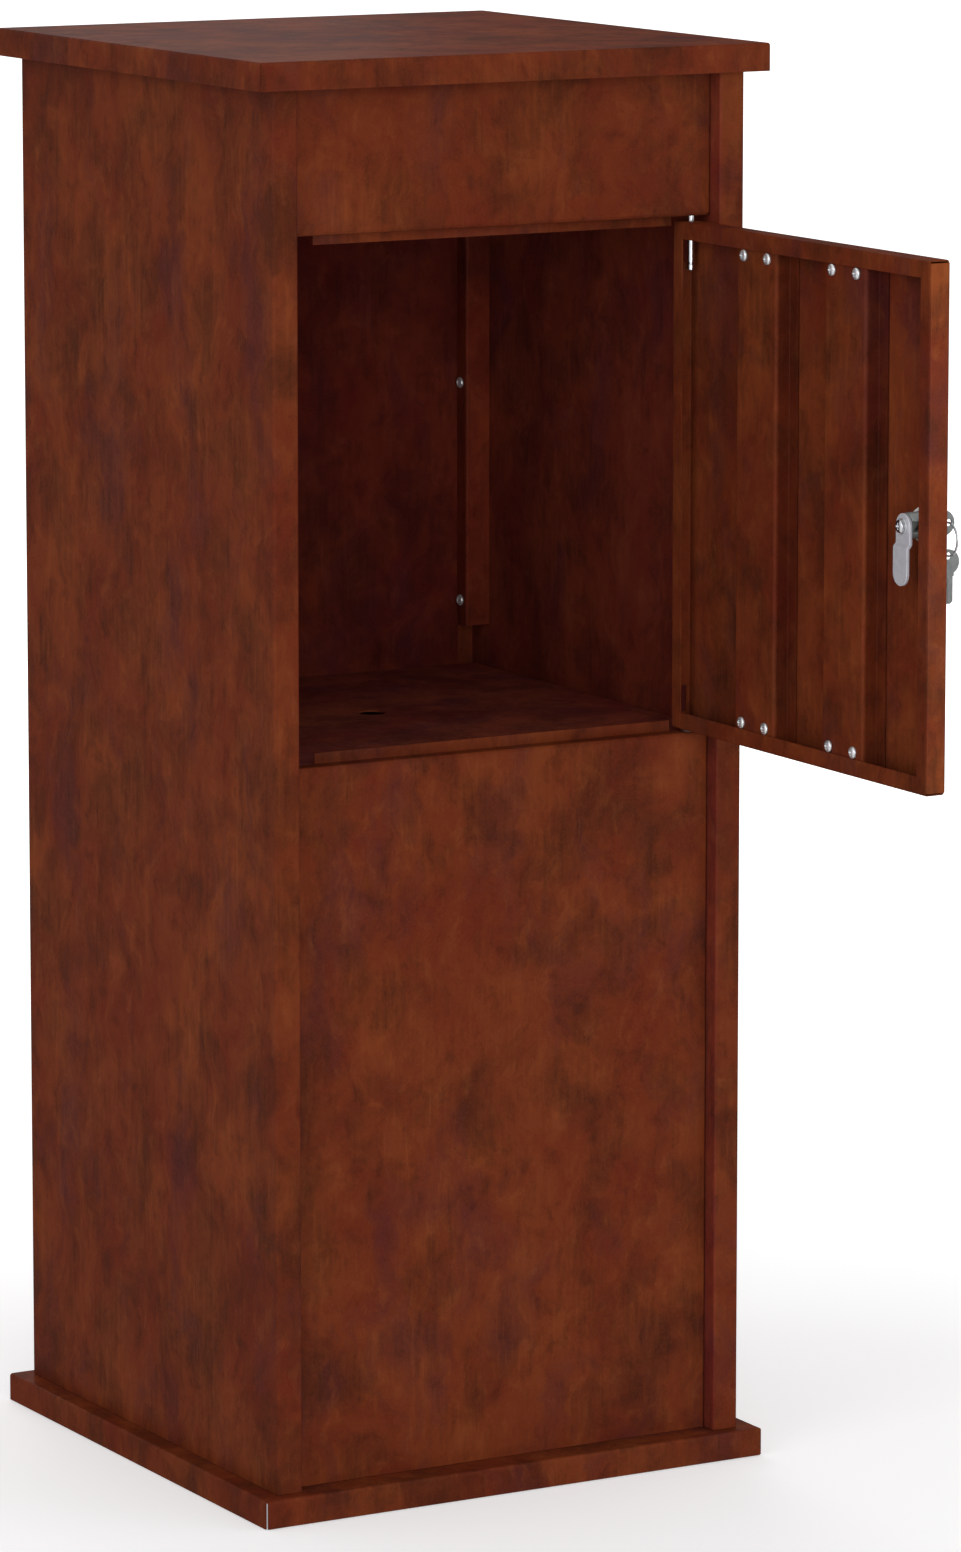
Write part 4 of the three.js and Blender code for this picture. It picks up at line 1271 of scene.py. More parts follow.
def dome(radius: float, base: float, height: float, edge: float = 0.3) -> list[Point]:
    """Draws half the profile of a domed head, from its rim to its top.

    Args:
        radius: The head's radius.
        base: Where it starts along its axis.
        height: How high it is.
        edge: The share of its height that its upright rim takes.

    Returns:
        Pairs of radius and height. The last one is on the axis.
    """
    rim = height * edge
    angles = [math.pi / 2 * k / DOME_STEPS for k in range(DOME_STEPS)]
    arc = [(radius * math.cos(a), base + rim + (height - rim) * math.sin(a)) for a in angles]
    return [(radius, base), *arc, (0, base + height)]


@dataclass(frozen=True)
class CrossRecess:
    """The cross recess of a screw's head. Both its slots get shorter and narrower downwards."""

    width: float = 4.6
    slot: float = 1.05
    depth: float = 1.5
    bottom_width: float = 0.45
    slot_taper: float = 0.6

    def wing(self, top: float) -> Solid:
        """Makes the cutter of one of the two slots.

        Args:
            top: The height of the head's top.

        Returns:
            The cutter.
        """
        levels = ((top + CUT_PAST, 1.0), (top, 1.0), (top - self.depth, self.bottom_width))
        corners = ((-1, -1), (1, -1), (1, 1), (-1, 1))
        rows = []
        for level, share in levels:
            half_x = self.width / 2 * share
            half_y = self.slot / 2 * (1 - self.slot_taper + self.slot_taper * share)
            rows.append([(x * half_x, y * half_y, level) for x, y in corners])
        return Solid.tube(rows)

    def cutter(self, top: float) -> Solid:
        """Returns the cutter of the whole recess in a head that has its top at a height."""
        wing = self.wing(top)
        return wing.joined(wing.moved(Matrix.Rotation(QUARTER_TURN, 4, "Z")))


@dataclass(frozen=True)
class PanHeadScrew:
    """A pan head screw. The underside of its head is at Z = 0, with the threaded shank below."""

    head_radius: float = 4.2
    head_height: float = 2.6
    head_fillet: float = 0.252
    shank_radius: float = 2.0
    pitch: float = 0.8
    thread_sides: int = 20
    neck: float = 0.6
    recess: CrossRecess = CrossRecess()

    def shape(self, length: float) -> Solid:
        """Makes a screw.

        Args:
            length: The length of its shank.

        Returns:
            The screw.
        """
        fillet = self.head_fillet
        crown = dome(self.head_radius, fillet, self.head_height - fillet)
        head = Solid.lathed([(0, 0), (self.head_radius - fillet, 0), *crown], Axis.Z)
        shank = Solid.threaded(
            self.shank_radius, self.pitch, Axis.Z, -length, self.neck, self.thread_sides)
        return head.joined(shank).without(self.recess.cutter(self.head_height))


@dataclass
class Compartment:
    """The parcel compartment: its floor, the angles under it and the rails in its far corners."""

    box: Carcass
    finishes: Finishes
    screw: PanHeadScrew
    shelf_top: float = 535.5
    shelf_half: float = 184.5
    shelf_ys: Span = (-169.5, 182.5)
    shelf_flange: float = 15.0
    shelf_hole: float = 10.0
    shelf_hole_at: Span = (0.0, 10.5)
    bracket_leg: float = 16.0
    bracket_inset: float = 36.0
    rail_bottom: float = 566.5
    rail_ys: Span = (168.0, 182.5)
    rail_screw_length: float = 8.0
    # Painted light on the shelf's upper faces, and painted shade all over the rails.
    floor_painted_light: Color = (1.45, 1.5, 2.6)
    rail_painted_shade: Color = (0.98, 0.74, 0.98)

    def shelf(self) -> Solid:
        """Folds the floor and cuts its round hole.

        Returns:
            The floor.
        """
        low, high = self.shelf_ys
        tray = folded_tray(self.box, 2 * self.shelf_half, high - low, self.shelf_flange, self.shelf_top)
        hole = upright_drill(
            self.shelf_hole, self.shelf_hole_at, self.shelf_top - self.box.sheet, self.shelf_top)
        return tray.moved(Matrix.Translation((0, (low + high) / 2, 0))).without(hole)

    def bracket(self, side: Side) -> Solid:
        """Folds the angle under one side of the shelf.

        Args:
            side: The angle's side.

        Returns:
            The angle.
        """
        box = self.box
        wall = side * (box.width / 2 - box.sheet - box.gap - box.half_sheet)
        ledge = self.shelf_top - self.shelf_flange - box.gap - box.half_sheet
        section = strip([
            (wall, ledge - self.bracket_leg), (wall, ledge), (wall - side * self.bracket_leg, ledge)])
        low, high = self.shelf_ys
        return Solid.pushed(section, Axis.Y, low + self.bracket_inset, high - self.bracket_inset)

    def rail(self, side: Side) -> Solid:
        """Folds the angle rail in one corner.

        Args:
            side: The corner's side.

        Returns:
            The rail.
        """
        box = self.box
        x = side * (box.panel_half - box.half_sheet)
        front = self.rail_ys[0] + box.half_sheet
        section = strip([
            (x, self.rail_ys[1]), (x, front), (side * (box.width / 2 - box.sheet - box.gap), front)])
        return Solid.pushed(section, Axis.Z, self.rail_bottom, box.top).without(*box.rail_holes(side))

    def build_screws(self) -> None:
        """Places the four screws of the rails."""
        box = self.box
        seat = box.panel_half - box.sheet - box.gap
        shape = self.screw.shape(self.rail_screw_length)
        spots = [(side, z) for side in Side for z in box.rail_screw_heights]
        for number, (side, z) in enumerate(spots, 1):
            head = Matrix.Rotation(-side * QUARTER_TURN, 4, "Y")
            spot = box.place @ Matrix.Translation((side * seat, box.rail_screw_y, z)) @ head
            place_piece(f"rail_screw_{number}", shape, spot, Body.BOX, self.finishes.zinc)

    def build(self) -> None:
        """Places the floor, the angles, the rails and their screws."""
        box, rust = self.box, self.finishes.rust
        # The shelf's upper faces get painted light.
        place_piece("shelf", self.shelf(), box.place, Body.BOX, rust(Tint(self.floor_painted_light, UP)))
        for side in Side:
            hand = side.name.lower()
            place_piece(f"shelf_bracket_{hand}", self.bracket(side), box.place, Body.BOX, rust())
            # Each rail gets painted shade all over.
            shaded = rust(Tint(self.rail_painted_shade, UP, EVERYWHERE))
            place_piece(f"corner_rail_{hand}", self.rail(side), box.place, Body.BOX, shaded)
        self.build_screws()


def hexagon_nut(flats: float, thickness: float, bore: float, pitch: float, axis: Axis) -> Solid:
    """Makes a hexagon nut, chamfered on both faces and threaded.

    Args:
        flats: Its width across flats.
        thickness: Its thickness.
        bore: The radius of its bore.
        pitch: The pitch of its thread.
        axis: Its axis. The nut starts at 0 on it.

    Returns:
        The nut.
    """
    corner = flats / math.sqrt(3)
    angles = [QUARTER_TURN + math.pi / 3 * k for k in range(6)]
    outline = [(corner * math.cos(a), corner * math.sin(a)) for a in angles]
    slope = (corner - flats / 2) * math.tan(NUT_CHAMFER)
    round_off = Solid.lathed([
        (0, 0), (flats / 2, 0), (corner, slope), (corner, thickness - slope),
        (flats / 2, thickness), (0, thickness)], axis)
    ends = (-CUT_PAST, thickness + CUT_PAST)
    tap = Solid.threaded(bore + TAP_PAST * pitch, pitch, axis, *ends, ROUND_SIDES)
    plain = Solid.bar(bore, axis, *ends)
    return Solid.pushed(outline, axis, 0, thickness).common(round_off).without(plain, tap)


@dataclass
class FootFasteners:
    """The screws up through the foot into the side panels, and the nuts on the cap's studs."""

    box: Carcass
    finishes: Finishes
    screw: PanHeadScrew
    screw_length: float = 9.0
    nut_flats: float = 8.0
    nut_thickness: float = 4.0
    nut_bore: float = 2.8
    nut_pitch: float = 0.8

    def build(self) -> None:
        """Places the four screws and the four nuts."""
        box = self.box
        shape = self.screw.shape(self.screw_length)
        nut = hexagon_nut(self.nut_flats, self.nut_thickness, self.nut_bore, self.nut_pitch, Axis.Z)
        head_seat = box.edge - box.sheet - box.gap
        nut_bottom = box.top - box.sheet - box.gap - self.nut_thickness
        for number, (x, y) in enumerate(box.foot_places, 1):
            low = box.place @ Matrix.Translation((x, y, head_seat)) @ Matrix.Rotation(math.pi, 4, "X")
            high = box.place @ Matrix.Translation((x, y, nut_bottom))
            place_piece(f"base_screw_{number}", shape, low, Body.BOX, self.finishes.zinc)
            place_piece(f"cap_nut_{number}", nut, high, Body.BOX, self.finishes.zinc)


@dataclass
class Door:
    """The parcel door, in its own frame.

    X = 0 and Y = 0 are on the hinge pins. The closed door lies along X, with its free edge at -X and its
    inner side at +Y. At rest it stands open at 90 degrees.
    """

    box: Carcass
    finishes: Finishes
    screw: PanHeadScrew
    edges: Span = (-325.2, 11.5)
    heights: Span = (538.5, 905.0)
    thickness: Span = (-7.7, 8.3)
    rim: float = 12.5
    pin_hole: float = 2.9
    notch_from_end: float = 11.0
    notch_length: float = 19.0
    notch_ys: Span = (-4.0, 6.5)
    lock_at: Span = (-297.7, 721.75)
    lock_hole: float = 9.6
    lock_flat: float = 8.4
    rib_centres: Span = (-99.611, -215.4358)
    rib_face: float = 52.0
    rib_foot: float = 11.0
    rib_ys: Span = (-6.2, 6.8)
    tab_half: float = 22.0
    tab_length: float = 26.0
    tab_top: float = 5.3
    rib_screw_half: float = 15.65
    rib_screw_from_end: float = 17.0
    rib_screw_length: float = 5.6
    # Painted shade on each rib's wall and foot on the side of the free edge, and the width of its fade.
    painted_rib_wall_shade: Color = (0.62, 0.56, 0.62)
    rib_wall_fade: float = 0.001
    # Painted light on the outside of the free edge, and the width of its fade.
    painted_free_edge_light: Color = (1.5, 1.65, 1.5)
    free_edge_fade: float = 0.0002

    @property
    def place(self) -> Matrix:
        """Where the door's own frame is when the door stands open."""
        pin = Matrix.Translation((*self.box.hinge_pin, 0))
        return self.box.place @ pin @ Matrix.Rotation(QUARTER_TURN, 4, "Z")

    @property
    def lock_place(self) -> Matrix:
        """Where the lock's axis crosses the door's own frame."""
        x, z = self.lock_at
        return self.place @ Matrix.Translation((x, 0, z))

    def section(self, low: float, high: float) -> list[Point]:
        """Draws the door's section between two edges.

        Args:
            low: The lower edge.
            high: The upper edge.

        Returns:
            The outline, with the thickness along its second coordinate.
        """
        half = self.box.half_sheet
        skin = self.thickness[0] + half
        rim = self.thickness[1] - half
        return strip([
            (low + self.rim, rim), (low + half, rim), (low + half, skin),
            (high - half, skin), (high - half, rim), (high - self.rim, rim)])

    def screw_spots(self) -> list[Span]:
        """Lists the places of the eight rib screws.

        Returns:
            The X and Z of each.
        """
        low, high = self.heights
        levels = (high - self.rib_screw_from_end, low + self.rib_screw_from_end)
        return [
            (centre + side * self.rib_screw_half, z)
            for centre in self.rib_centres for z in levels for side in (Side.RIGHT, Side.LEFT)]

    def screw_hole(self, x: float, z: float) -> Solid:
        """Returns the cutter of one rib screw's hole."""
        through = (self.tab_top - self.box.sheet - CUT_PAST, self.rib_ys[1] + CUT_PAST)
        return Solid.bar(self.box.screw_hole, Axis.Y, *through, (x, z))

    def notch(self, low: float) -> Solid:
        """Makes the cutter of one notch in the hinge-side wall.

        Args:
            low: The Z of its lower end.

        Returns:
            The cutter.
        """
        edge = self.edges[1]
        xs = (edge - self.box.sheet - CUT_PAST, edge + CUT_PAST)
        return Solid.block(xs, self.notch_ys, (low, low + self.notch_length))

    def tabs(self) -> list[Solid]:
        """Makes the tabs that the ribs are screwed to.

        Returns:
            The tabs.
        """
        half, (low, high) = self.box.half_sheet, self.heights
        ys = (self.tab_top - self.box.sheet, self.tab_top)
        spans = ((high - self.tab_length, high - half), (low + half, low + self.tab_length))
        return [
            Solid.block((x - self.tab_half, x + self.tab_half), ys, zs)
            for x in self.rib_centres for zs in spans]

    def tray(self) -> Solid:
        """Folds the door's skin, walls and rim, and cuts its holes and notches.

        Returns:
            The door.
        """
        bend = self.box.outer_bend
        (left, right), (low, high) = self.edges, self.heights
        upright = Solid.pushed(self.section(left, right), Axis.Z, low + bend, high - bend)
        level_section = [(y, z) for z, y in self.section(low, high)]
        level = Solid.pushed(level_section, Axis.X, left + bend, right - bend)
        return upright.joined(level, *self.tabs()).without(
            self.notch(high - self.notch_from_end - self.notch_length),
            self.notch(low + self.notch_from_end),
            Solid.bar(self.pin_hole, Axis.Z, low - CUT_PAST, high + CUT_PAST),
            self.lock_cutter(),
            *[self.screw_hole(x, z) for x, z in self.screw_spots()])

    def lock_cutter(self) -> Solid:
        """Makes the cutter of the lock's hole, which has two flats.

        Returns:
            The cutter.
        """
        x, z = self.lock_at
        through = (self.thickness[0] - CUT_PAST, self.thickness[0] + self.box.sheet + CUT_PAST)
        flats = Solid.block((-self.lock_flat, self.lock_flat), through, (-WIDE_CUT, WIDE_CUT))
        hole = Solid.bar(self.lock_hole, Axis.Y, *through).common(flats)
        return hole.moved(Matrix.Translation((x, 0, z)))

    def rib(self, centre: float) -> Solid:
        """Folds one hat-section stiffener.

        Args:
            centre: The X of its middle.

        Returns:
            The stiffener.
        """
        box = self.box
        foot = self.rib_ys[0] + box.half_sheet
        face = self.rib_ys[1] - box.half_sheet
        half = self.rib_face / 2 - box.half_sheet
        section = strip([
            (centre - half - self.rib_foot, foot), (centre - half, foot), (centre - half, face),
            (centre + half, face), (centre + half, foot), (centre + half + self.rib_foot, foot)])
        inset = box.sheet + box.gap
        holes = [self.screw_hole(x, z) for x, z in self.screw_spots() if abs(x - centre) < half]
        return Solid.pushed(section, Axis.Z, self.heights[0] + inset, self.heights[1] - inset).without(*holes)

    def rib_painted_shade(self, centre: float) -> Tint:
        """Works out the painted shade, a darker tint, on a rib's wall and foot on the side of the door's free
        edge.

        Args:
            centre: The X of the rib's middle.

        Returns:
            The tint. It starts at the bend between the rib's face and that wall.
        """
        corner = self.place @ Vector((centre - self.rib_face / 2, self.rib_ys[1], 0)) * MM
        slope = math.sqrt(0.5)
        start = slope * (corner.x - corner.y + self.box.outer_bend * MM)
        return Tint(self.painted_rib_wall_shade, (slope, -slope, 0), start, self.rib_wall_fade, Measure.PLACE)

    def free_edge_painted_light(self) -> Tint:
        """Works out the painted light on the outside of the free edge, a paler tint from the middle of the
        sheet.
        """
        edge = self.place @ Vector((self.edges[0] + self.box.half_sheet, 0, 0)) * MM
        return Tint(self.painted_free_edge_light, (0, -1, 0), -edge.y, self.free_edge_fade, Measure.PLACE)

    def build(self) -> None:
        """Places the door, its ribs and their screws."""
        rust = self.finishes.rust
        # The outside of the door's free edge gets painted light.
        painted_light_rust = rust(self.free_edge_painted_light())
        place_piece("door_tray", self.tray(), self.place, Body.DOOR, painted_light_rust)
        for centre, side in zip(self.rib_centres, ("hinge", "lock")):
            # Each rib's wall and foot on the free edge's side get painted shade.
            finish = rust(self.rib_painted_shade(centre))
            place_piece(f"door_rib_{side}_side", self.rib(centre), self.place, Body.DOOR, finish)
        shape = self.screw.shape(self.rib_screw_length)
        seat = self.rib_ys[1] + self.box.gap
        for number, (x, z) in enumerate(self.screw_spots(), 1):
            head = Matrix.Rotation(-QUARTER_TURN, 4, "X")
            spot = self.place @ Matrix.Translation((x, seat, z)) @ head
            place_piece(f"rib_screw_{number}", shape, spot, Body.DOOR, self.finishes.zinc)


@dataclass
class Hinge:
    """The two pins that the door swings on, and the washer under it."""

    door: Door
    finishes: Finishes
    pin_radius: float = 2.6
    chamfer: float = 0.5
    upper_ends: Span = (870.0, 915.2)
    groove: Span = (874.3, 875.6)
    groove_depth: float = 0.9
    groove_slope: float = 0.15
    lower_ends: Span = (530.3, 540.0)
    head_radius: float = 4.4
    head_height: float = 2.0
    head_rim: float = 0.4
    washer_radius: float = 6.0
    washer_bore: float = 2.95
    washer_heights: Span = (536.8, 538.2)

    def upper_pin(self) -> Solid:
        """Turns the upper pin, with the groove that it is pulled down by.

        Returns:
            The pin.
        """
        low, high = self.upper_ends
        radius, cut = self.pin_radius, self.chamfer
        (start, end), slope = self.groove, self.groove_slope
        neck = radius - self.groove_depth
        return Solid.lathed([
            (0, low), (radius - cut, low), (radius, low + cut),
            (radius, start), (neck, start + slope), (neck, end - slope), (radius, end),
            (radius, high - cut), (radius - cut, high), (0, high)], Axis.Z)

    def lower_pin(self) -> Solid:
        """Turns the lower pin, with its domed head inside the door.

        Returns:
            The pin.
        """
        low, seat = self.lower_ends
        radius, cut = self.pin_radius, self.chamfer
        return Solid.lathed([
            (0, low), (radius - cut, low), (radius, low + cut), (radius, seat),
            *dome(self.head_radius, seat, self.head_height, self.head_rim)], Axis.Z)

    def washer(self) -> Solid:
        """Makes the washer that the door rides on.

        Returns:
            The washer.
        """
        low, high = self.washer_heights
        bore = Solid.bar(self.washer_bore, Axis.Z, low - CUT_PAST, high + CUT_PAST)
        return Solid.bar(self.washer_radius, Axis.Z, low, high).without(bore)

    def build(self) -> None:
        """Places the pins and the washer."""
        place, chrome = self.door.place, self.finishes.chrome
        place_piece("upper_hinge_pin", self.upper_pin(), place, Body.DOOR, chrome)
        place_piece("lower_hinge_pin", self.lower_pin(), place, Body.DOOR, chrome)
        place_piece("hinge_washer", self.washer(), place, Body.BOX, self.finishes.oiled)


@dataclass
class CamLock:
    """The cam lock, about its own axis along the door's Y. Its outer end is at -Y."""

    door: Door
    finishes: Finishes
    flange_radius: float = 11.5
    flange_ys: Span = (-10.9, -8.0)
    flange_rim: float = 0.4
    flange_flat: float = 6.9
    flange_step: float = 0.4
    barrel_radius: float = 9.3
    barrel_flat: float = 8.1
    barrel_end: float = 8.4
    barrel_bore: float = 6.75
    barrel_pitch: float = 1.0
    nut_flats: float = 23.0
    nut_thickness: float = 3.5
    nut_bore: float = 9.6
    nut_y: float = -6.2
    plug_radius: float = 6.4
    plug_ys: Span = (-11.3, 8.7)
    plug_chamfers: Span = (0.4, 0.3)
    square_half: float = 3.15
    square_overlap: float = 1.2
    square_end: float = 10.7
    keyway_half: Span = (1.3, 4.0)
    keyway_end: float = 7.7
    bolt_hole: float = 2.3
    cam_y: float = 9.0
    cam_thickness: float = 2.2
    cam_half: float = 8.8
    cam_reach: float = 41.0
    cam_hole_gap: float = 0.3
    cam_edge: float = 0.3
    joggle_down: float = 12.5
    washer_radius: float = 5.6
    washer_ys: Span = (11.5, 12.3)
    bolt_ys: Span = (9.0, 12.6)
    bolt_radius: float = 2.0
    bolt_pitch: float = 0.7
    bolt_neck: float = 0.6
    bolt_head_radius: float = 4.6
    bolt_head: float = 2.8
    bolt_head_rim: float = 0.55
    bolt_recess: CrossRecess = CrossRecess(5.2, 1.2, 1.5)

    def flange(self) -> Solid:
        """Turns the barrel's flange, with a rounded rim and a flat face.

        Returns:
            The flange.
        """
        front, back = self.flange_ys
        rounded = dome(self.flange_radius, 0, back - front, self.flange_rim)
        face = [(radius, back - along) for radius, along in rounded if radius > self.flange_flat]
        inner = face[-1][0] - self.flange_step
        return Solid.lathed([(0, back), *face, (inner, front), (0, front)], Axis.Y)

    def barrel(self) -> Solid:
        """Makes the threaded barrel, with its flange and two flats.

        Returns:
            The barrel.
        """
        front, back = self.flange_ys
        start, end = back - (back - front) / 3, self.barrel_end
        thread = Solid.threaded(self.barrel_radius, self.barrel_pitch, Axis.Y, start, end, ROUND_SIDES)
        xs = (-self.barrel_flat, self.barrel_flat)
        flats = Solid.block(xs, (front, end + CUT_PAST), (-WIDE_CUT, WIDE_CUT))
        bore = Solid.bar(self.barrel_bore, Axis.Y, front - CUT_PAST, end + CUT_PAST)
        return self.flange().joined(thread.common(flats)).without(bore)

    def plug(self) -> Solid:
        """Makes the turning plug, with its keyway, its square end and the bolt's hole.

        Returns:
            The plug.
        """
        front, end = self.plug_ys
        outer, inner = self.plug_chamfers
        radius, half = self.plug_radius, self.square_half
        round_part = Solid.lathed([
            (0, front), (radius - outer, front), (radius, front + outer), (radius, end - inner),
            (radius - inner, end), (0, end)], Axis.Y)
        square = Solid.block((-half, half), (end - self.square_overlap, self.square_end), (-half, half))
        wide, tall = self.keyway_half
        keyway = Solid.block((-wide, wide), (front - CUT_PAST, self.keyway_end), (-tall, tall))
        hole = Solid.bar(self.bolt_hole, Axis.Y, end, self.square_end + CUT_PAST)
        return round_part.joined(square).without(keyway, hole)

    def cam(self) -> Solid:
        """Makes the cam: a round-ended arm with a joggle, hanging from a square hole.

        Returns:
            The cam.
        """
        middle = self.cam_y + self.cam_thickness / 2
        radius, thick = self.cam_half, self.cam_thickness
        down = self.joggle_down
        section = strip([
            (middle, radius), (middle, -down, thick), (middle + thick, -down - thick, thick),
            (middle + thick, -self.cam_reach)], thick)
        depth = (self.cam_y - CUT_PAST, self.cam_y + 2 * thick + CUT_PAST)
        low = radius - self.cam_reach
        outline = Solid.bar(radius, Axis.Y, *depth).joined(
            Solid.bar(radius, Axis.Y, *depth, (0, low)), Solid.block((-radius, radius), depth, (low, 0)))
        half = self.square_half + self.cam_hole_gap
        hole = Solid.block((-half, half), depth, (-half, half))
        return Solid.pushed(section, Axis.X, -radius, radius).common(outline).without(hole)

    def washer(self) -> Solid:
        """Makes the washer under the bolt's head.

        Returns:
            The washer.
        """
        low, high = self.washer_ys
        bore = Solid.bar(self.bolt_hole, Axis.Y, low - CUT_PAST, high + CUT_PAST)
        return Solid.bar(self.washer_radius, Axis.Y, low, high).without(bore)

    def bolt(self) -> Solid:
        """Makes the bolt that holds the cam.

        Returns:
            The bolt.
        """
        tip, seat = self.bolt_ys
        crown = dome(self.bolt_head_radius, seat, self.bolt_head, self.bolt_head_rim)
        head = Solid.lathed([(0, seat), *crown], Axis.Y)
        shank = Solid.threaded(self.bolt_radius, self.bolt_pitch, Axis.Y, tip, seat + self.bolt_neck)
        recess = self.bolt_recess.cutter(seat + self.bolt_head)
        return head.joined(shank).without(recess.moved(Matrix.Rotation(-QUARTER_TURN, 4, "X")))

    def build(self) -> None:
        """Places the parts of the lock."""
        place = self.door.lock_place
        nut = hexagon_nut(self.nut_flats, self.nut_thickness, self.nut_bore, self.barrel_pitch, Axis.Y)
        look = self.finishes
        place_piece("lock_barrel", self.barrel(), place, Body.DOOR, look.satin_chrome)
        nut_place = place @ Matrix.Translation((0, self.nut_y, 0))
        place_piece("lock_nut", nut, nut_place, Body.DOOR, look.pale_chrome)
        place_piece("lock_plug", self.plug(), place, Body.LOCK, look.zinc)
        place_piece("lock_cam", self.cam(), place, Body.LOCK, look.cast_zinc, self.cam_edge)
        place_piece("cam_washer", self.washer(), place, Body.LOCK, look.zinc)
        place_piece("cam_bolt", self.bolt(), place, Body.LOCK, look.polished_zinc)


@dataclass
class Keys:
    """The key in the lock, and a second key that hangs from it on a split ring."""

    door: Door
    finishes: Finishes
    hole_y: float = -25.7
    thickness: float = 1.8
    bow_radius: float = 8.8
    bow_centre: float = 4.2
    hole_radius: float = 2.5
    neck_end: float = 14.1
    neck_half: float = 4.5
    blade_half: float = 3.6
    tip: float = 33.1
    bite_depths: tuple[float, ...] = (1.2, 2.1, 0.8, 1.7, 1.3)
    bite_start: float = 18.0
    bite_step: float = 2.7
    bite_floor: float = 0.4
    groove_depth: float = 0.45
    groove_width: float = 1.1
    groove_levels: tuple[tuple[Side, float], ...] = ((Side.RIGHT, -1.5), (Side.LEFT, 0.3))
    edge: float = 0.2
    ring_radius: float = 11.5
    ring_wire: Span = (0.7, 0.34)
    ring_rise: float = 0.36
    ring_step: float = 0.32
    ring_gap: float = 0.06
    ring_sides: int = 96
    wire_sides: int = 12

    def key(self) -> Solid:
        """Cuts a key whose origin is in its bow's hole and whose blade lies along +Y.

        Returns:
            The key.
        """
        half = self.thickness / 2
        bevel = self.blade_half / 2
        low, high = -self.blade_half, self.blade_half
        blade = [
            (self.bow_centre, low), (self.tip - bevel, low), (self.tip, low + bevel),
            (self.tip, high - bevel), (self.tip - bevel, high), (self.bow_centre, high)]
        body = Solid.bar(self.bow_radius, Axis.X, -half, half, (self.bow_centre, 0)).joined(
            Solid.block((-half, half), (self.bow_centre, self.neck_end), (-self.neck_half, self.neck_half)),
            Solid.pushed(blade, Axis.X, -half, half))
        hole = Solid.bar(self.hole_radius, Axis.X, -half - CUT_PAST, half + CUT_PAST)
        return body.without(*self.bites(), *self.grooves(), hole)

    def grooves(self) -> list[Solid]:
        """Makes the cutters of the grooves along both faces of the blade.

        Returns:
            The cutters.
        """
        half = self.thickness / 2
        ys = (self.neck_end + 1, self.tip + CUT_PAST)
        return [
            Solid.block(
                (side * (half - self.groove_depth), side * (half + CUT_PAST)),
                ys, (level, level + self.groove_width))
            for side, level in self.groove_levels]

    def bites(self) -> list[Solid]:
        """Makes the cutters of the blade's cuts.

        Returns:
            The cutters.
        """
        reach = self.thickness / 2 + CUT_PAST
        edge, flat = self.blade_half, self.bite_floor
        cutters = []
        for number, depth in enumerate(self.bite_depths):
            y = self.bite_start + number * self.bite_step
            mouth = flat + depth + 1
            notch = [
                (y - flat, edge - depth), (y + flat, edge - depth), (y + mouth, edge + 1),
                (y - mouth, edge + 1)]
            cutters.append(Solid.pushed(notch, Axis.X, -reach, reach))
        return cutters

    def ring(self) -> Solid:
        """Winds the split ring: two turns of flat wire, with a step where one passes to the other.

        Returns:
            The ring.
        """
        half_wide, half_thick = self.ring_wire
        start = self.ring_step + self.ring_gap
        length = 4 * math.pi - 2 * start
        turns = [2 * math.pi * k / self.wire_sides for k in range(self.wire_sides)]
        rows = []
        for k in range(2 * self.ring_sides + 1):
            angle = start + length * k / (2 * self.ring_sides)
            passed = max(-1.0, min(1.0, (angle - 2 * math.pi) / self.ring_step))
            layer = self.ring_rise * math.sin(passed * QUARTER_TURN)
            wire = [
                (self.ring_radius + half_wide * math.cos(turn), layer + half_thick * math.sin(turn))
                for turn in turns]
            rows.append([
                (radius * math.cos(angle), y, radius * math.sin(angle) - self.ring_radius)
                for radius, y in wire])
        return Solid.tube(rows)

    def build(self) -> None:
        """Places both keys and the ring."""
        hole = self.door.lock_place @ Matrix.Translation((0, self.hole_y, 0))
        hanging = Matrix.Translation((0, 0, -2 * self.ring_radius)) @ Matrix.Rotation(-QUARTER_TURN, 4, "X")
        shape = self.key()
        nickel = self.finishes.nickel
        place_piece("key", shape, hole, Body.LOCK, nickel, self.edge)
        place_piece("key_ring", self.ring(), hole, Body.KEYS, self.finishes.polished_zinc)
        place_piece("spare_key", shape, hole @ hanging, Body.KEYS, nickel, self.edge)


@dataclass(frozen=True)
class Viewpoint:
    """The camera, about where the photograph was taken from. Angles are in degrees."""

    place: Point = (-2.4766, -4.3147, 1.3798)
    yaw: float = 29.473
    pitch: float = 8.549
    lens_in_pixels: float = 7140.0
    picture: tuple[int, int] = (961, 1552)
    shift: Span = (0.0052, -0.10)
    sensor: float = 36.0
    clip: Span = (0.05, 100.0)

    def ahead(self) -> Vector:
        """Works out the way that the camera looks.

        Returns:
            The direction.
        """
        yaw = math.radians(self.yaw)
        pitch = math.radians(self.pitch)
        level = math.cos(pitch)
        return Vector((math.sin(yaw) * level, math.cos(yaw) * level, -math.sin(pitch)))

    def build(self) -> None:
        """Sets up the camera."""
        data = bpy.data.cameras.new("camera")
        data.sensor_fit = "AUTO"
        data.sensor_width = self.sensor
        data.lens = self.sensor * self.lens_in_pixels / max(self.picture)
        data.shift_x, data.shift_y = self.shift
        data.clip_start, data.clip_end = self.clip
        camera = bpy.data.objects.new("camera", data)
        camera.location = self.place
        camera.rotation_euler = self.ahead().to_track_quat("-Z", "Y").to_euler()
        bpy.context.scene.collection.objects.link(camera)
        bpy.context.scene.camera = camera


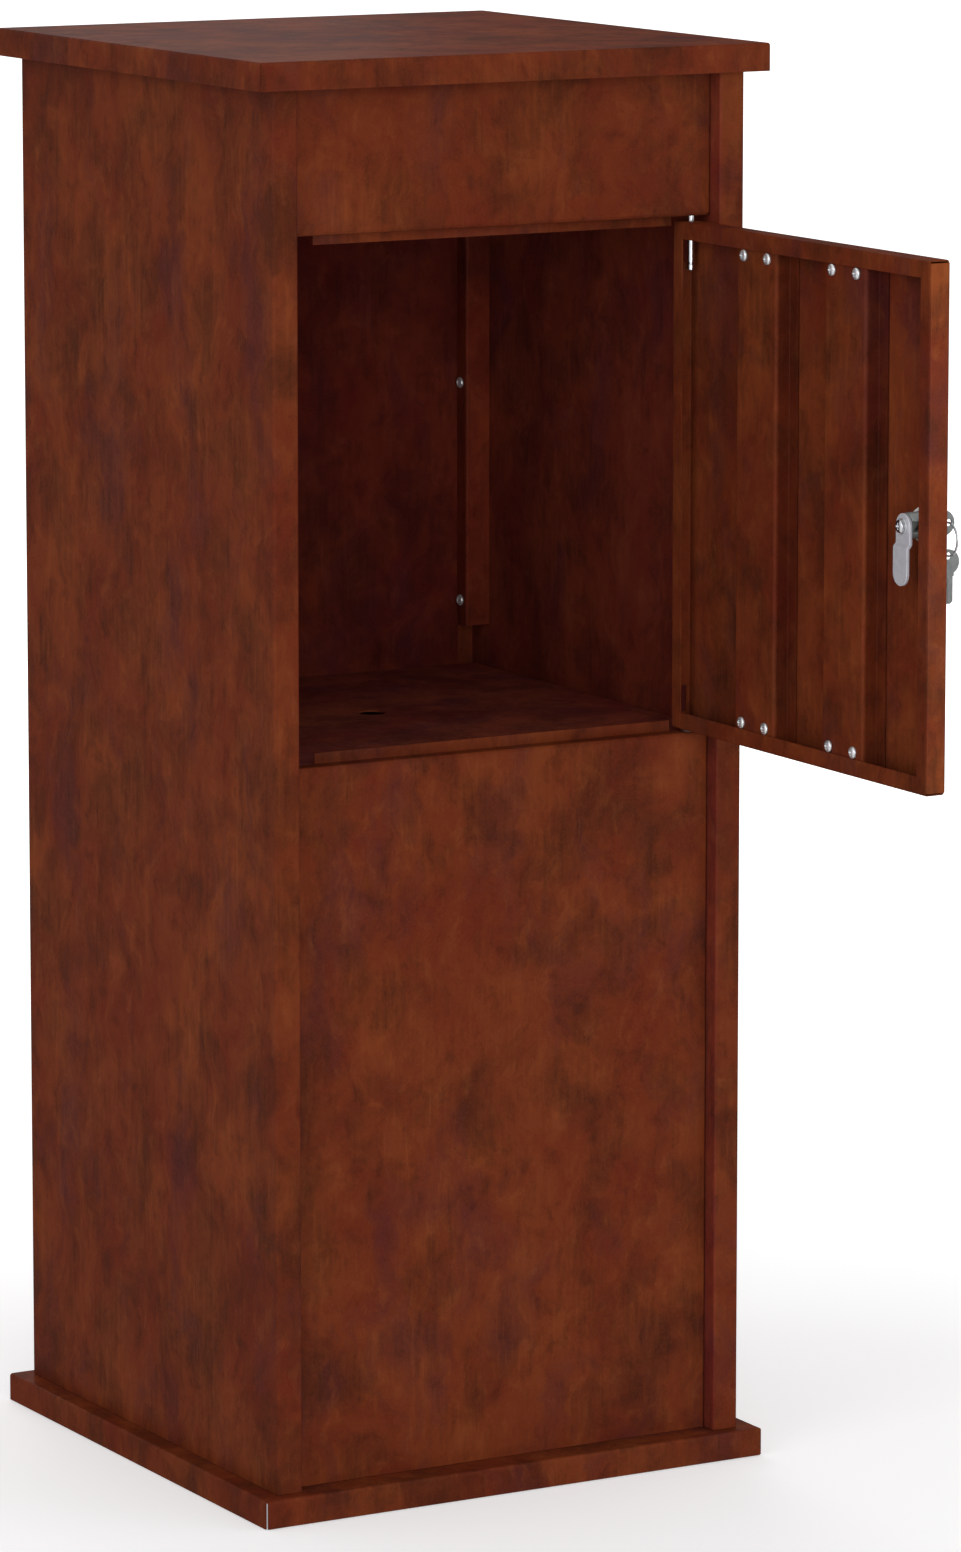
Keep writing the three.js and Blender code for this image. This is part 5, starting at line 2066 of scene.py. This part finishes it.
@dataclass(frozen=True)
class Lamp:
    """A square soft lamp that faces the middle of the mailbox."""

    name: str
    place: Point
    side: float
    watts: float
    aim: Point = (0, 0.1, 0.6)

    def build(self) -> None:
        """Hangs the lamp."""
        data = bpy.data.lights.new(self.name, "AREA")
        data.size = self.side
        data.energy = self.watts
        lamp = bpy.data.objects.new(self.name, data)
        lamp.location = self.place
        aim = Vector(self.aim) - Vector(self.place)
        lamp.rotation_euler = aim.to_track_quat("-Z", "Y").to_euler()
        bpy.context.scene.collection.objects.link(lamp)


@dataclass
class Studio:
    """A pale floor, a white surround and four large soft lamps."""

    floor_color: Color = (0.86, 0.86, 0.86)
    floor_half: float = 40.0
    floor_z: float = -0.0005
    near_glow: float = 0.36
    far_glow: float = 0.5
    glow_span: Span = (0.5, 2.5)
    reflected_glow: float = 0.3
    surround: float = 0.544
    lamps: tuple[Lamp, ...] = (
        Lamp("front", (-1.7, -5.0, 1.5), 2.8, 82),
        Lamp("left", (-4.4, -1.6, 2.2), 2.4, 30),
        Lamp("right", (3.6, -2.8, 2.0), 2.4, 16),
        Lamp("rear", (1.0, 4.4, 2.4), 2.6, 50),
    )

    @staticmethod
    def rays(shading: Shading) -> list[Value]:
        """Adds the three kinds of ray that show the surroundings: straight, reflected and through glass."""
        kinds = ("Is Camera Ray", "Is Glossy Ray", "Is Transmission Ray")
        return [shading.node("ShaderNodeLightPath", output=kind) for kind in kinds]

    def floor_material(self) -> bpy.types.Material:
        """Makes the pale floor's material, which shows white, apart from the object's shadow on it.

        Returns:
            The material.
        """
        surface = Surface("floor_white")
        seen, glossy, through = self.rays(surface)
        place = surface.node("ShaderNodeTexCoord", output="Object")
        away = surface.node("ShaderNodeVectorMath", {"operation": "LENGTH"}, {0: place}, "Value")
        glow = self.near_glow + away.between(*self.glow_span) * self.far_glow
        return surface.finish(surface.node("ShaderNodeBsdfPrincipled", {}, {
            "Base Color": (*self.floor_color, 1),
            "Roughness": 1.0,
            "Specular IOR Level": 0.0,
            "Emission Color": seen * glow + (glossy + through) * self.reflected_glow,
            "Emission Strength": 1.0,
        }))

    def lay_floor(self) -> None:
        """Lays a large floor just under the foot."""
        half = self.floor_half
        mesh = bpy.data.meshes.new("floor")
        mesh.from_pydata(
            [(-half, -half, 0), (half, -half, 0), (half, half, 0), (-half, half, 0)], [], [(0, 1, 2, 3)])
        mesh.materials.append(self.floor_material())
        floor = bpy.data.objects.new("floor", mesh)
        floor.location.z = self.floor_z
        bpy.context.scene.collection.objects.link(floor)

    def surround_scene(self) -> None:
        """Puts a white surround round the scene, which looks brighter than the light that it gives."""
        world = bpy.data.worlds.new("studio")
        world.use_nodes = True
        shading = Shading(world.node_tree)
        seen, glossy, through = self.rays(shading)
        shown = (seen + glossy + through).between(0, 1)
        strength = shown * (1 - self.surround) + self.surround
        back = shading.node("ShaderNodeBackground", {}, {"Color": (*WHITE, 1), "Strength": strength})
        shading.add("ShaderNodeOutputWorld", {}, {"Surface": back})
        bpy.context.scene.world = world

    def build(self) -> None:
        """Lays the floor and lights the scene."""
        self.lay_floor()
        self.surround_scene()
        for lamp in self.lamps:
            lamp.build()


def main() -> None:
    """Builds the mailbox and its studio, and reports each piece."""
    logging.basicConfig(level=logging.INFO, format="%(message)s")
    bpy.context.scene.view_settings.view_transform = "Standard"
    box = Carcass()
    finishes = Finishes()
    screw = PanHeadScrew()
    door = Door(box, finishes, screw)
    Viewpoint().build()
    Studio().build()
    FootAndCap(box, finishes).build()
    SidePanels(box, finishes).build()
    DoorWall(box, finishes).build()
    SlotWall(box, finishes).build()
    Compartment(box, finishes, screw).build()
    FootFasteners(box, finishes, screw).build()
    door.build()
    Hinge(door, finishes).build()
    CamLock(door, finishes).build()
    Keys(door, finishes).build()


if __name__ == "__main__":
    main()
